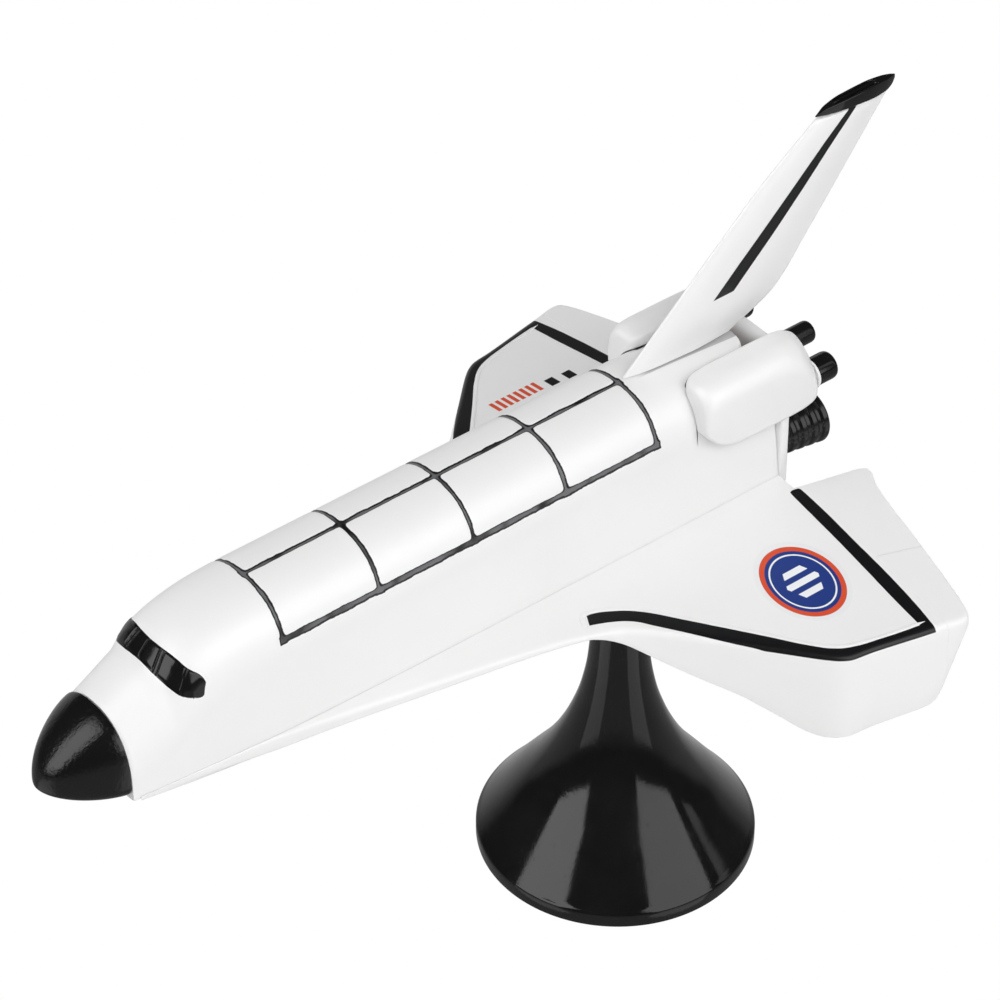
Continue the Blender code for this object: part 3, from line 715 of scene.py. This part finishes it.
def pan_ring(station, inset=0.0):
    half = seam_half_width(station) - inset
    low = belly_low(station)
    tuck = 0.3 + NOSE_TUCK * (low - BELLY_HEIGHT) / NOSE_RISE
    corners = [(half, PAN_TOP), (half - 0.4 * tuck, low + 0.3 * (PAN_TOP - low)), (half - tuck, low),
               (tuck - half, low), (0.4 * tuck - half, low + 0.3 * (PAN_TOP - low)), (-half, PAN_TOP)]
    return [(x, station, height) for x, height in rounded_outline(corners, (0.15, 0.7, 0.5, 0.5, 0.7, 0.15))]


def make_belly_pan(material):
    rings = [pan_ring(s) for s in spread(CAP_STATION, HULL_REAR - 0.3, 70)] + [pan_ring(HULL_REAR, 0.25)]
    add_piece("belly", loft(rings), material, ["belly_pan"])


# Wings: station, outer edge of the upper face, and outer edge and height of the lower rim
WING_EDGE = [
    (17.0, 12.62, 12.62, 101.2),
    (24.0, 13.2, 13.2, 100.9),
    (32.0, 13.95, 13.95, 100.2),
    (42.0, 14.8, 14.8, 99.0),
    (54.5, 16.3, 16.3, 98.0),
    (87.5, 22.0, 22.2, 98.0),
    (113.5, 27.1, 27.3, 98.0),
    (121.2, 29.3, 29.5, 98.0),
    (124.5, 30.4, 30.7, 97.2),
    (128.5, 32.3, 32.7, 95.2),
    (133.0, 35.4, 36.2, 91.8),
    (137.3, 39.2, 40.2, 88.6),
    (141.8, 43.6, 44.4, 85.4),
    (147.6, 49.2, 50.0, 81.6),
    (153.2, 54.6, 55.6, 76.8),
    (158.5, 59.8, 61.0, 72.4),
    (161.0, 62.1, 63.6, 71.6),
    (163.2, 63.8, 65.2, 71.5),
    (165.5, 64.9, 66.1, 71.5),
    (170.0, 65.6, 66.6, 71.5),
    (176.0, 66.8, 67.8, 71.6),
    (183.0, 68.3, 69.3, 71.7),
    (185.3, 68.75, 69.7, 72.0),
    (186.5, 69.0, 69.9, 72.8),
]
ELEVON_EDGE = [             # station, inner edge, outer edge of the upper face, outer edge and height below it
    (186.8, 21.0, 69.1, 69.95, 73.2),
    (187.8, 21.3, 69.3, 70.1, 75.2),
    (193.2, 22.5, 70.35, 70.4, 88.4),
    (194.1, 22.7, 70.15, 70.2, 89.9),
    (194.8, 22.8, 69.4, 69.4, 90.6),
    (195.7, 23.0, 67.3, 67.3, 91.0),
    (199.5, 23.8, 49.3, 49.3, 93.9),
    (203.0, 24.6, 30.8, 30.8, 96.8),
    (204.6, 25.6, 27.2, 27.2, 97.4),
]
ELEVON_THICK = 2.2
SEAM_GAP = 0.03             # the fine crack between hull and wing
TOP_STEPS = 24
CREST_ROUND = 1.7           # how far the rounding of the upper outer edge reaches
# Raised lip inside the painted line: place along it, station and distance from the centre line
LIP_PATH = [(0, 185.3, 65.9), (1, 174.4, 63.9), (2, 166.9, 61.95), (3, 163.6, 60.2), (4, 159.9, 56.8),
            (5, 153.6, 49.6), (6, 147.7, 43.0), (7, 141.8, 36.4), (8, 135.4, 29.6), (9, 130.6, 26.3),
            (10, 126.4, 24.4), (11, 124.5, 24.2), (12, 123.2, 25.1), (13, 122.6, 27.4)]
LIP_HALF = 0.45
LIP_RISE = 0.2


def wing_top(x):
    return WING_ROOT_HEIGHT - WING_DROOP * x


def wing_ring(side, station, inner, outer, rim, inner_low, low, edge_run, edge_drop):
    """One ring of a wing, with its upper outer edge rounded by a run outwards and a drop."""
    crest = (outer, wing_top(outer))
    foot = (rim, low)
    run = min(edge_run, 0.45 * (outer - inner))
    edge_start = (outer - run, wing_top(outer - run))
    edge_end = toward(crest, foot, edge_drop)
    points = bend((inner, wing_top(inner) - 0.06), (inner, wing_top(inner)),
                  (inner + 0.1, wing_top(inner + 0.1)), 3)
    points += [(x, wing_top(x)) for x in spread(inner + 0.1, outer - run, TOP_STEPS)[1:-1]]
    points += bend(edge_start, crest, edge_end, 8)
    rim_start = toward(foot, crest, 0.45)
    rim_end = toward(foot, (inner, inner_low), 0.6)
    points += [tuple(blend_value(a, b, share) for a, b in zip(edge_end, rim_start)) for share in (0.25, 0.5, 0.75)]
    points += bend(rim_start, foot, rim_end, 4)
    inner_end = (inner, inner_low)
    points += [tuple(blend_value(a, b, share) for a, b in zip(rim_end, inner_end)) for share in spread(0.1, 1.0, 8)]
    return [(side * x, station, height) for x, height in points]


def make_wing(side, name, material):
    rings = []
    stations = spread(17.0, 120.0, 54) + spread(121.0, 168.0, 70) + spread(169.0, 186.5, 16)
    for station in stations:
        inner = seam_half_width(station) + SEAM_GAP
        outer, rim, low = (smooth_value(WING_EDGE, station, column) for column in (1, 2, 3))
        drop = min(CREST_ROUND, 0.48 * (wing_top(outer) - low))
        rings.append(wing_ring(side, station, inner, outer, rim, belly_low(station) + 0.05, low, CREST_ROUND, drop))
    first = ELEVON_EDGE[0][0]
    last = ELEVON_EDGE[-1][0]
    for station in spread(first, 194.0, 12) + spread(194.2, 196.4, 14) + spread(196.8, last, 22):
        inner, outer, rim, low = (smooth_value(ELEVON_EDGE, station, column) for column in (1, 2, 3, 4))
        share = (station - first) / (last - first)
        inner_low = blend_value(BELLY_HEIGHT, wing_top(inner) - ELEVON_THICK, share)
        run = blend_value(CREST_ROUND, 2.6, ease(193.5, 196.0, station))
        drop = blend_value(CREST_ROUND, 0.6, ease(193.0, 195.5, station))
        rings.append(wing_ring(side, station, inner, outer, rim, inner_low, low, run, drop))
    add_piece(f"wing_{name}_moulding", loft(rings), material, [f"wing_{name}"])


def make_wing_lip(side, name, material):
    """The raised lip on a wing, a low bead along the inside of the painted line and round its front end."""
    last = LIP_PATH[-1][0]
    rings = []
    for place in spread(0.0, last, 150):
        station, x = smooth_value(LIP_PATH, place, 1), smooth_value(LIP_PATH, place, 2)
        ahead = min(last, place + 0.02)
        behind = max(0.0, place - 0.02)
        run_station = smooth_value(LIP_PATH, ahead, 1) - smooth_value(LIP_PATH, behind, 1)
        run_x = smooth_value(LIP_PATH, ahead, 2) - smooth_value(LIP_PATH, behind, 2)
        length = math.hypot(run_station, run_x)
        size = ease(0.0, 0.3, min(place, last - place) + 0.05)
        section = [(across, math.sqrt(1 - across ** 2)) for across in spread(-1.0, 1.0, 11)]
        section += [(1.0, -1.5), (-1.0, -1.5)]
        ring = []
        for across, rise in section:
            offset = across * LIP_HALF * size
            ring_x = x + offset * run_station / length
            ring.append((side * ring_x, station - offset * run_x / length, wing_top(ring_x) + rise * LIP_RISE * size))
        rings.append(ring)
    add_piece(f"wing_{name}_lip", loft(rings), material, [])


# Nose cap
NOSE_AXIS = 105.3
NOSE_HALF = 12.2
NOSE_TOP = 119.9
NOSE_BOTTOM = 100.2
NOSE_SQUARE = 2.4


def nose_ring(share, inset=0.0):
    """One ring of the cap, at a share of the way from its tip to its rear face."""
    scale = (1.0 - (1.0 - share) ** 1.36) ** (1 / 1.7)
    station = (CAP_STATION - GAP) * share
    points = []
    for k in range(96):
        angle = math.tau * k / 96
        across = math.copysign(abs(math.sin(angle)) ** (2 / NOSE_SQUARE), math.sin(angle))
        rise = math.copysign(abs(math.cos(angle)) ** (2 / NOSE_SQUARE), math.cos(angle))
        reach = NOSE_TOP - NOSE_AXIS if rise > 0 else NOSE_AXIS - NOSE_BOTTOM
        points.append((across * scale * (NOSE_HALF - inset), station,
                       NOSE_AXIS + scale * rise * (reach - inset)))
    return points


def make_nose_cap(material):
    rings = [nose_ring(max(0.0005, share) ** 2.0) for share in spread(0.0, 0.992, 48)]
    rings += [nose_ring(0.994, 0.03), nose_ring(0.999, 0.12), nose_ring(1.0, 0.3)]
    add_piece("nose", loft(rings), material, ["nose_cap"])


# Window band: places from the centre to the end, with x and station of the lower and of the upper outline
BAND_EDGES = [
    (0.0, 0.0, 26.4, 0.0, 30.15),
    (0.14, 2.0, 26.38, 1.85, 30.25),
    (0.28, 4.0, 26.4, 3.6, 30.4),
    (0.40, 5.7, 26.6, 5.2, 30.7),
    (0.52, 7.4, 26.95, 6.5, 31.0),
    (0.62, 8.7, 27.35, 7.6, 31.3),
    (0.72, 10.0, 27.95, 8.7, 31.65),
    (0.80, 10.95, 28.6, 9.6, 32.1),
    (0.88, 11.8, 29.6, 10.4, 32.8),
    (0.94, 12.4, 30.8, 11.2, 33.7),
    (0.97, 12.75, 31.9, 11.75, 34.22),
    (0.985, 12.92, 33.0, 12.15, 34.5),
    (0.995, 12.95, 33.75, 12.5, 34.62),
    (1.0, 12.86, 34.35, 12.7, 34.55),
]
# Ribs between the panes: place along the band, how much it slants, and how far its two ridges are apart
BAND_RIBS = ((0.0, 0.0, 0.0), (0.34, 0.06, 0.45), (0.81, 0.0, 0.0))
RIDGE_HALF = 0.2


def band_place(share, up):
    """A place on the band: share runs from the centre to its end and up from the lower to the upper outline."""
    x = blend_value(smooth_value(BAND_EDGES, share, 1), smooth_value(BAND_EDGES, share, 3), up)
    station = blend_value(smooth_value(BAND_EDGES, share, 2), smooth_value(BAND_EDGES, share, 4), up)
    return x, station


def band_rise(x, share, up):
    """How far the band stands off the hull: rounded at its edge, with domed panes between ribs."""
    edge = min(up, 1 - up) * 3.4
    end = (1 - share) * 18.0
    rim = ease(0.0, 0.5, min(edge, end))
    pane = ease(0.25, 0.7, edge) * ease(0.25, 0.8, end)
    ridge = 0.0
    for place, slant, apart in BAND_RIBS:
        middle = band_place(max(0.0, place + slant * (0.5 - up)), up)[0]
        distance = abs(abs(x - middle) - apart)
        pane *= ease(apart + RIDGE_HALF, apart + RIDGE_HALF + 0.3, abs(x - middle))
        ridge = max(ridge, (1 - ease(RIDGE_HALF * 0.4, RIDGE_HALF, distance)) * ease(0.1, 0.4, edge))
    dome = 0.12 * math.sin(math.pi * up)
    return -0.06 + 0.28 * rim + (0.2 + dome) * pane + 0.3 * ridge


def make_window_band(material):
    columns = 150
    rows = []
    for up in spread(0.0, 1.0, 31):
        row = []
        for k in range(-columns, columns + 1):
            share = abs(k) / columns
            x, station = band_place(share, up)
            rise = band_rise(x, share, up)
            row.append((math.copysign(x, k), station, hull_height(station, x, rise)))
        rows.append(row)
    bm = laid_grid(rows, closed=False)
    bmesh.ops.recalc_face_normals(bm, faces=bm.faces)
    bmesh.ops.solidify(bm, geom=bm.faces[:], thickness=0.5 * MM)
    add_piece("windows", bm, material, ["window_band"], sharp=50.0)


# Engine pods: station, inner edge, top, outer edge, corner width, corner height, roundness, lift
POD_FRAMES = [
    (164.4, 9.6, 133.4, 16.3, 4.9, 5.5, 2.0, 6.2),
    (165.2, 8.8, 134.4, 17.0, 5.3, 5.3, 2.0, 5.2),
    (167.0, 8.2, 135.0, 17.5, 5.2, 5.2, 2.0, 3.2),
    (170.0, 8.0, 135.3, 17.6, 5.2, 5.2, 2.0, 1.2),
    (173.0, 8.0, 135.3, 17.6, 5.2, 5.2, 2.0, 0.3),
    (178.0, 8.0, 135.3, 17.6, 5.2, 5.2, 2.0, 0.0),
    (187.0, 8.0, 135.2, 17.7, 5.6, 5.6, 2.0, 0.0),
    (191.5, 8.0, 134.6, 17.8, 6.6, 7.0, 1.9, 0.2),
    (194.6, 8.0, 133.0, 17.7, 8.6, 9.0, 1.7, 0.8),
    (195.7, 8.0, 132.0, 17.5, 8.5, 9.8, 1.6, 1.4),
    (196.2, 8.0, 131.2, 17.0, 8.0, 9.6, 1.55, 2.2),
]
POD_EDGE = 0.9
POD_UNDER = 1.4
NOZZLE_AXIS = (14.0, 123.5)


def corner(x, height, across, up, start, roundness=2.0, steps=8):
    """A quarter turn about (x, height) that starts at the given angle and goes clockwise."""
    points = []
    for i in range(steps + 1):
        angle = math.radians(start - 90 * i / steps)
        run = math.copysign(abs(math.cos(angle)) ** (2 / roundness), math.cos(angle))
        rise = math.copysign(abs(math.sin(angle)) ** (2 / roundness), math.sin(angle))
        points.append((x + across * run, height + up * rise))
    return points


def hull_side_x(station, height):
    """How far out the hull's side is at a height below its shoulder."""
    foot_x, foot_height = hull_spot(station, 90.0)
    share = (foot_height - height) / (foot_height - SEAM_HEIGHT)
    return blend_value(foot_x, seam_half_width(station), share)


def pod_ring(side, station, seated, inset=0.0):
    """One ring of a pod. A seated one follows the hull's shoulder, a gap away from it."""
    inner, top, outer, across, up, roundness, lift = (smooth_value(POD_FRAMES, station, c) for c in range(1, 8))
    inner += inset
    top -= inset
    outer -= inset
    low = POD_FLOOR + lift + inset
    outline = corner(inner + POD_EDGE, top - POD_EDGE, POD_EDGE, POD_EDGE, 180)
    outline += corner(outer - across, top - up, across, up, 90, roundness, 18)
    outline += corner(outer - POD_UNDER, low + POD_UNDER, POD_UNDER, POD_UNDER, 0)
    if seated:
        first = hull_angle(station, inner)
        seat = [(hull_side_x(station, low) + GAP, low)]
        seat += [hull_spot(station, angle, GAP) for angle in spread(88.0, first, 22)]
    else:
        seat = [(x, low) for x in spread(outer - POD_UNDER - 0.5, inner + 0.4, 10)]
        seat += bend((inner + 0.4, low), (inner, low), (inner, low + 0.4), 3)
        seat += [(inner, height) for height in spread(low + 1.0, top - POD_EDGE - 0.5, 9)]
    return [(side * x, station, height) for x, height in outline + seat]


def make_pod(side, name, white, black):
    joint = HULL_REAR + GAP
    stations = [164.5, 164.7, 165.0] + spread(165.4, 168.0, 8) + spread(168.6, joint, 18)
    rings = [pod_ring(side, 164.4, True, 0.35)] + [pod_ring(side, s, True) for s in stations]
    rings += [pod_ring(side, s, False) for s in spread(joint, 194.6, 12) + spread(194.8, 196.1, 8)]
    rings += [pod_ring(side, 196.2, False, 0.3)]
    add_piece(f"engine_pod_{name}", loft(rings), white, [f"pod_{name}"])
    aft = Vector((0, 1, 0))
    centre = Vector((side * NOZZLE_AXIS[0], -LENGTH / 2, NOZZLE_AXIS[1]))
    collar = [(196.2, 0.0), (196.2, 3.5), (196.6, 3.5), (196.8, 3.42), (196.9, 3.25), (196.9, 0.0)]
    add_piece(f"collar_{name}", turned(collar, centre, aft), white, [f"nozzle_collar_{name}"])
    nozzle = nozzle_profile(196.95, 202.3, 3.25)
    add_piece(f"nozzle_{name}", turned(nozzle, centre, aft), black, [f"pod_nozzle_{name}"])


def nozzle_profile(start, end, radius):
    """A smooth tube with a rounded rim and a shallow bore."""
    points = [(start, 0.0), (start, radius - 0.1), (start + 0.1, radius)]
    points += bend((end - 1.3, radius), (end, radius), (end, radius - 0.85), 8)
    points += bend((end, radius - 0.9), (end, radius - 1.1), (end - 0.25, radius - 1.15), 4)
    return points + [(end - 1.5, radius - 1.25), (end - 1.6, radius - 1.4), (end - 1.6, 0.0)]


# Rear plate and main engines
SPINE_HALF = 7.7
PLATE_THICK = 2.5
BELL_AXIS = (7.5, 104.7)
BELL_RIBS = 5


def engine_mount_material():
    """White plastic with painted shade, darker towards the spine, where it lies in the recess behind it."""
    material, tree, shader, (x, station, height, place), surface = start_material("mount_white", 0.5, 0.06, 0.0)
    plain = mixed(tree, surface.outputs["Tone"], WARM_WHITE, WHITE_PLASTIC)
    # Painted shade: the top darkens towards the spine's rear end.
    mount_shade = calc(tree, "MULTIPLY", fade(tree, station, 194.5, 189.0), 0.85)
    finish_material(tree, shader, surface, mixed(tree, mount_shade, plain, RECESS_SHADE), WHITE_ROUGHNESS, WHITE_BUMP)
    return material


def make_rear_plate(material, mount_material):
    front = HULL_REAR + 0.04
    plate = rounded_block((-16.2, front, BELLY_HEIGHT + 0.2), (16.2, front + PLATE_THICK, POD_FLOOR - GAP), 0.6)
    add_piece("rear_cover", plate, material, ["rear_plate"])
    half = SPINE_HALF - 0.1
    mount = rounded_block((-half, front, 114.6), (half, 195.5, 127.5), 0.7)
    add_piece("engine_mount", mount, mount_material, [])


def bell_profile(start, end):
    """The outside of a ribbed bell: a widening tube with rounded raised rings."""
    points = [(start, 0.0), (start, 4.5)]
    for reach in spread(start + 0.1, end - 0.5, 90):
        along = (reach - start) / (end - start)
        wave = (along * BELL_RIBS) % 1.0
        rib = ease(0.25, 0.5, wave) * (1 - ease(0.82, 1.0, wave))
        points.append((reach, 4.6 + 1.7 * along + 0.45 * rib))
    points += bend((end - 0.4, 6.6), (end, 6.6), (end, 6.2), 5)
    points += bend((end, 5.6), (end, 5.2), (end - 0.4, 5.1), 4)
    return points + [(end - 4.0, 4.1), (end - 4.0, 0.0)]


def make_engines(material):
    aft = Vector((0, 1, 0))
    start = HULL_REAR + GAP + PLATE_THICK + GAP
    for side, name in ((1, "left"), (-1, "right")):
        centre = Vector((side * BELL_AXIS[0], -LENGTH / 2, BELL_AXIS[1]))
        add_piece(f"bell_{name}", turned(bell_profile(start, 203.6), centre, aft), material,
                  [f"main_engine_{name}"])
    centre = Vector((0, -LENGTH / 2, 120.9))
    top_engine = nozzle_profile(195.8, 208.9, 2.6)
    add_piece("top_nozzle", turned(top_engine, centre, aft), material, ["main_engine_top"])


# Tail fin: place up the fin, station and height in front, station and height behind, half thickness
FIN_FRAMES = [
    (0, 154.8, 134.4, 184.6, 132.8, 1.35),
    (1, 163.5, 142.2, 190.5, 135.2, 1.35),
    (2, 169.0, 147.2, 196.2, 137.9, 1.35),
    (3, 175.9, 153.5, 200.4, 141.7, 1.35),
    (4, 182.0, 158.9, 205.2, 148.0, 1.35),
    (5, 192.2, 167.9, 211.2, 155.7, 1.3),
    (6, 207.4, 178.9, 228.0, 177.9, 1.2),
]
FIN_SECTION = [(0.0, 0.22), (0.05, 0.42), (0.12, 0.75), (0.35, 1.0), (0.6, 1.0), (1.0, 0.24)]
CAP_FRAMES = [              # station, bottom, top, half width below, half width above
    (207.4, 179.5, 179.8, 0.15, 0.15),
    (210.3, 179.3, 181.0, 0.95, 0.8),
    (215.2, 179.0, 181.4, 1.6, 1.4),
    (222.2, 178.5, 181.5, 1.75, 1.5),
    (226.5, 178.4, 181.4, 1.3, 1.1),
    (229.0, 178.9, 181.2, 0.6, 0.5),
    (LENGTH, 179.8, 180.9, 0.2, 0.2),
]
RECESS_DEPTH = 0.45


def fin_ring(place, inset=0.0):
    front, front_height, rear, rear_height, half = (smooth_value(FIN_FRAMES, place, c) for c in range(1, 6))
    shares = [0.0, 0.004, 0.012, 0.025] + spread(0.05, 0.95, 24) + [0.98, 0.992, 1.0]
    left = []
    for share in shares:
        thick = half * smooth_value(FIN_SECTION, share, 1)
        nearest = min(share, 1 - share) * (rear - front)
        if nearest < 0.25:
            thick *= math.sqrt(max(0.0, 1 - (1 - nearest / 0.25) ** 2))
        station = blend_value(front, rear, share)
        height = blend_value(front_height, rear_height, share)
        left.append((max(0.02, thick - inset), station, height))
    return left + [(-x, station, height) for x, station, height in reversed(left)]


def cap_recess(station, across):
    """How deep the two long recesses in the cap's top are, at a share of its half width."""
    along = ease(211.5, 213.0, station) * (1 - ease(223.5, 225.0, station))
    return RECESS_DEPTH * along * ease(0.2, 0.3, abs(across)) * (1 - ease(0.56, 0.66, abs(across)))


def make_fin(white, black):
    rings = [fin_ring(0.0, 0.15)] + [fin_ring(p) for p in spread(0.01, 5.985, 70)] + [fin_ring(6.0, 0.15)]
    add_piece("fin", loft(rings), white, ["tail_fin"], sharp=60.0)
    rings = []
    for station in spread(CAP_FRAMES[0][0], LENGTH, 60):
        low, top, below, above = (smooth_value(CAP_FRAMES, station, c) for c in range(1, 5))
        radius = min(0.35, 0.4 * (top - low))
        outline = bend((below - radius, low), (below, low), (below, low + radius), 3)
        outline += bend((above, top - radius), (above, top), (above - radius, top), 3)
        outline += [(x, top - cap_recess(station, x / above)) for x in spread(above - radius, radius - above, 25)[1:-1]]
        outline += [(-x, height) for x, height in reversed(outline[:8])]
        rings.append([(x, station, height) for x, height in outline])
    add_piece("fin_tip", loft(rings), black, ["fin_cap"])


# Stand
STAND_PROFILE = [           # height, radius
    (4.2, 31.6),
    (9.0, 28.0),
    (15.0, 23.6),
    (21.0, 19.2),
    (28.0, 15.0),
    (36.0, 11.4),
    (45.0, 8.6),
    (54.0, 7.1),
    (62.0, 6.6),
    (97.0, 6.4),
]


def make_stand(material):
    profile = [(0.0, 0.0)]
    profile += bend((0.0, 31.7), (0.0, 32.3), (0.5, 32.3), 5)
    profile += bend((3.0, 32.3), (3.7, 32.3), (4.2, 31.6), 6)
    profile += [(height, smooth_value(STAND_PROFILE, height, 1)) for height in spread(4.8, 97.0, 70)]
    profile += bend((97.3, 6.4), (97.7, 6.4), (97.7, 6.0), 4)
    profile.append((97.7, 0.0))
    centre = Vector((0, STAND_STATION - LENGTH / 2, 0))
    add_piece("stand", turned(profile, centre, Vector((0, 0, 1)), 160), material,
              ["display_stand"])


# Light, floor and camera
CAMERA_PLACE = (0.634024, -0.505703, 0.806352)
CAMERA_AXES = ((0.62662, 0.77932, 0.00219), (-0.50399, 0.40309, 0.76388), (0.59442, -0.47977, 0.64535))


def make_camera():
    data = bpy.data.cameras.new("photo_camera")
    data.lens = 180.0
    data.sensor_width = 36.0
    data.clip_start = 0.05
    camera = bpy.data.objects.new("photo_camera", data)
    turn = Matrix(CAMERA_AXES).transposed().to_4x4()
    camera.matrix_world = Matrix.Translation(CAMERA_PLACE) @ turn
    bpy.context.scene.collection.objects.link(camera)
    bpy.context.scene.camera = camera


# Studio lights: name, azimuth and elevation as seen from the toy, width, height and power. A fill light only
# brightens, and a softbox only shows as a reflection.
SOFTBOXES = [
    ("left_softbox", -98.0, 38.0, 0.95, 1.45, 10.4),
    ("right_softbox", 14.0, 26.0, 1.1, 0.95, 5.6),
    ("right_strip", 50.0, 26.0, 0.2, 0.95, 0.4),
    ("low_left_softbox", -98.0, -28.0, 0.85, 0.9, 1.2),
    ("low_right_softbox", 14.0, -28.0, 0.85, 0.9, 1.2),
]
FILL_LIGHTS = [
    ("left_fill", -98.0, 40.0, 0.62, 1.35, 1.5),
    ("right_fill", 20.0, 26.0, 0.85, 0.95, 3.8),
    ("far_fill", 210.0, 12.0, 0.7, 0.7, 5.6),
    ("rear_fill", 90.0, 15.0, 0.7, 0.7, 0.9),
    ("front_fill", -50.0, 45.0, 0.7, 0.7, 4.3),
    ("side_fill", 0.0, 50.0, 0.7, 0.7, 4.7),
]
LIGHT_TARGET = Vector((0.0, 0.0, 0.1))
LIGHT_DISTANCE = 1.3
BACKDROP = (-0.77, 0.63, 0.1)       # direction of the white backdrop, behind the toy


def make_light(name, azimuth, elevation, width, height, power):
    """A rectangular studio light that faces the toy."""
    data = bpy.data.lights.new(name, "AREA")
    data.shape = "RECTANGLE"
    data.size = width
    data.size_y = height
    data.energy = power
    light = bpy.data.objects.new(name, data)
    turn = math.radians(azimuth)
    rise = math.radians(elevation)
    outward = Vector((math.cos(rise) * math.cos(turn), math.cos(rise) * math.sin(turn), math.sin(rise)))
    light.location = LIGHT_TARGET + outward * LIGHT_DISTANCE
    light.rotation_euler = (-outward).to_track_quat("-Z", "Y").to_euler()
    bpy.context.scene.collection.objects.link(light)
    return light


def make_studio():
    scene = bpy.context.scene
    scene.view_settings.view_transform = "Standard"
    world = bpy.data.worlds.new("studio")
    world.use_nodes = True
    tree = world.node_tree
    tree.nodes.clear()
    rays = put(tree, "ShaderNodeLightPath")
    seen = put(tree, "ShaderNodeBackground", {"Color": (1.0, 1.0, 1.0, 1.0), "Strength": 1.0})
    fill = put(tree, "ShaderNodeBackground", {"Color": (1.0, 1.0, 1.0, 1.0), "Strength": 0.43})
    outward = put(tree, "ShaderNodeTexCoord").outputs["Generated"]
    facing = put(tree, "ShaderNodeVectorMath", {0: outward, 1: BACKDROP}, operation="DOT_PRODUCT").outputs["Value"]
    upward = put(tree, "ShaderNodeSeparateXYZ", {0: outward}).outputs["Z"]
    backdrop = calc(tree, "MULTIPLY", fade(tree, facing, 0.45, 0.8), fade(tree, upward, 0.35, 0.2))
    table = calc(tree, "MULTIPLY", fade(tree, upward, 0.0, -0.15), 0.25)
    glow = calc(tree, "MAXIMUM", calc(tree, "MAXIMUM", calc(tree, "MULTIPLY", backdrop, 0.5), table), 0.03)
    mirrored = put(tree, "ShaderNodeBackground", {"Color": (1.0, 1.0, 1.0, 1.0), "Strength": glow})
    soft = put(tree, "ShaderNodeMixShader", {0: rays.outputs["Is Glossy Ray"], 1: fill.outputs[0],
                                             2: mirrored.outputs[0]})
    whole = put(tree, "ShaderNodeMixShader", {0: rays.outputs["Is Camera Ray"], 1: soft.outputs[0],
                                              2: seen.outputs[0]})
    put(tree, "ShaderNodeOutputWorld", {"Surface": whole.outputs[0]})
    scene.world = world
    for settings in SOFTBOXES:
        make_light(*settings).visible_diffuse = False
    for settings in FILL_LIGHTS:
        make_light(*settings).visible_glossy = False


def make_floor():
    """A plain white table top that is brighter than the picture's white point."""
    bm = bmesh.new()
    bmesh.ops.create_grid(bm, x_segments=1, y_segments=1, size=3.0)
    mesh = bpy.data.meshes.new("floor")
    bm.to_mesh(mesh)
    bm.free()
    material = bpy.data.materials.new("floor_white")
    material.use_nodes = True
    tree = material.node_tree
    tree.nodes.clear()
    rays = put(tree, "ShaderNodeLightPath")
    lit = put(tree, "ShaderNodeBsdfDiffuse", {"Color": (0.8, 0.8, 0.8, 1.0)})
    seen = put(tree, "ShaderNodeEmission", {"Color": (1.0, 1.0, 1.0, 1.0), "Strength": 1.0})
    whole = put(tree, "ShaderNodeMixShader", {0: rays.outputs["Is Camera Ray"], 1: lit.outputs[0],
                                              2: seen.outputs[0]})
    put(tree, "ShaderNodeOutputMaterial", {"Surface": whole.outputs[0]})
    mesh.materials.append(material)
    floor = bpy.data.objects.new("floor", mesh)
    floor.location.z = -0.0002
    floor.visible_glossy = False
    bpy.context.scene.collection.objects.link(floor)


def main():
    white = white_material("plain_white")
    black = black_material("gloss_black")
    wing_white = wing_material()
    hull_white = hull_material()
    make_hull(hull_white)
    make_spine(hull_white)
    make_belly_pan(white)
    make_wing(1, "left", wing_white)
    make_wing(-1, "right", wing_white)
    make_wing_lip(1, "left", white)
    make_wing_lip(-1, "right", white)
    make_nose_cap(black_material("nose_black", 4.5, (0.14, 0.3), 1.3))
    make_window_band(black)
    make_pod(1, "left", white, black)
    make_pod(-1, "right", white, black)
    make_rear_plate(white, engine_mount_material())
    make_engines(black_material("engine_black", 0.8, (0.18, 0.36)))
    make_fin(fin_material(), black)
    make_stand(black_material("stand_black", 1.3, (0.07, 0.24), 0.2))
    make_camera()
    make_studio()
    make_floor()


main()
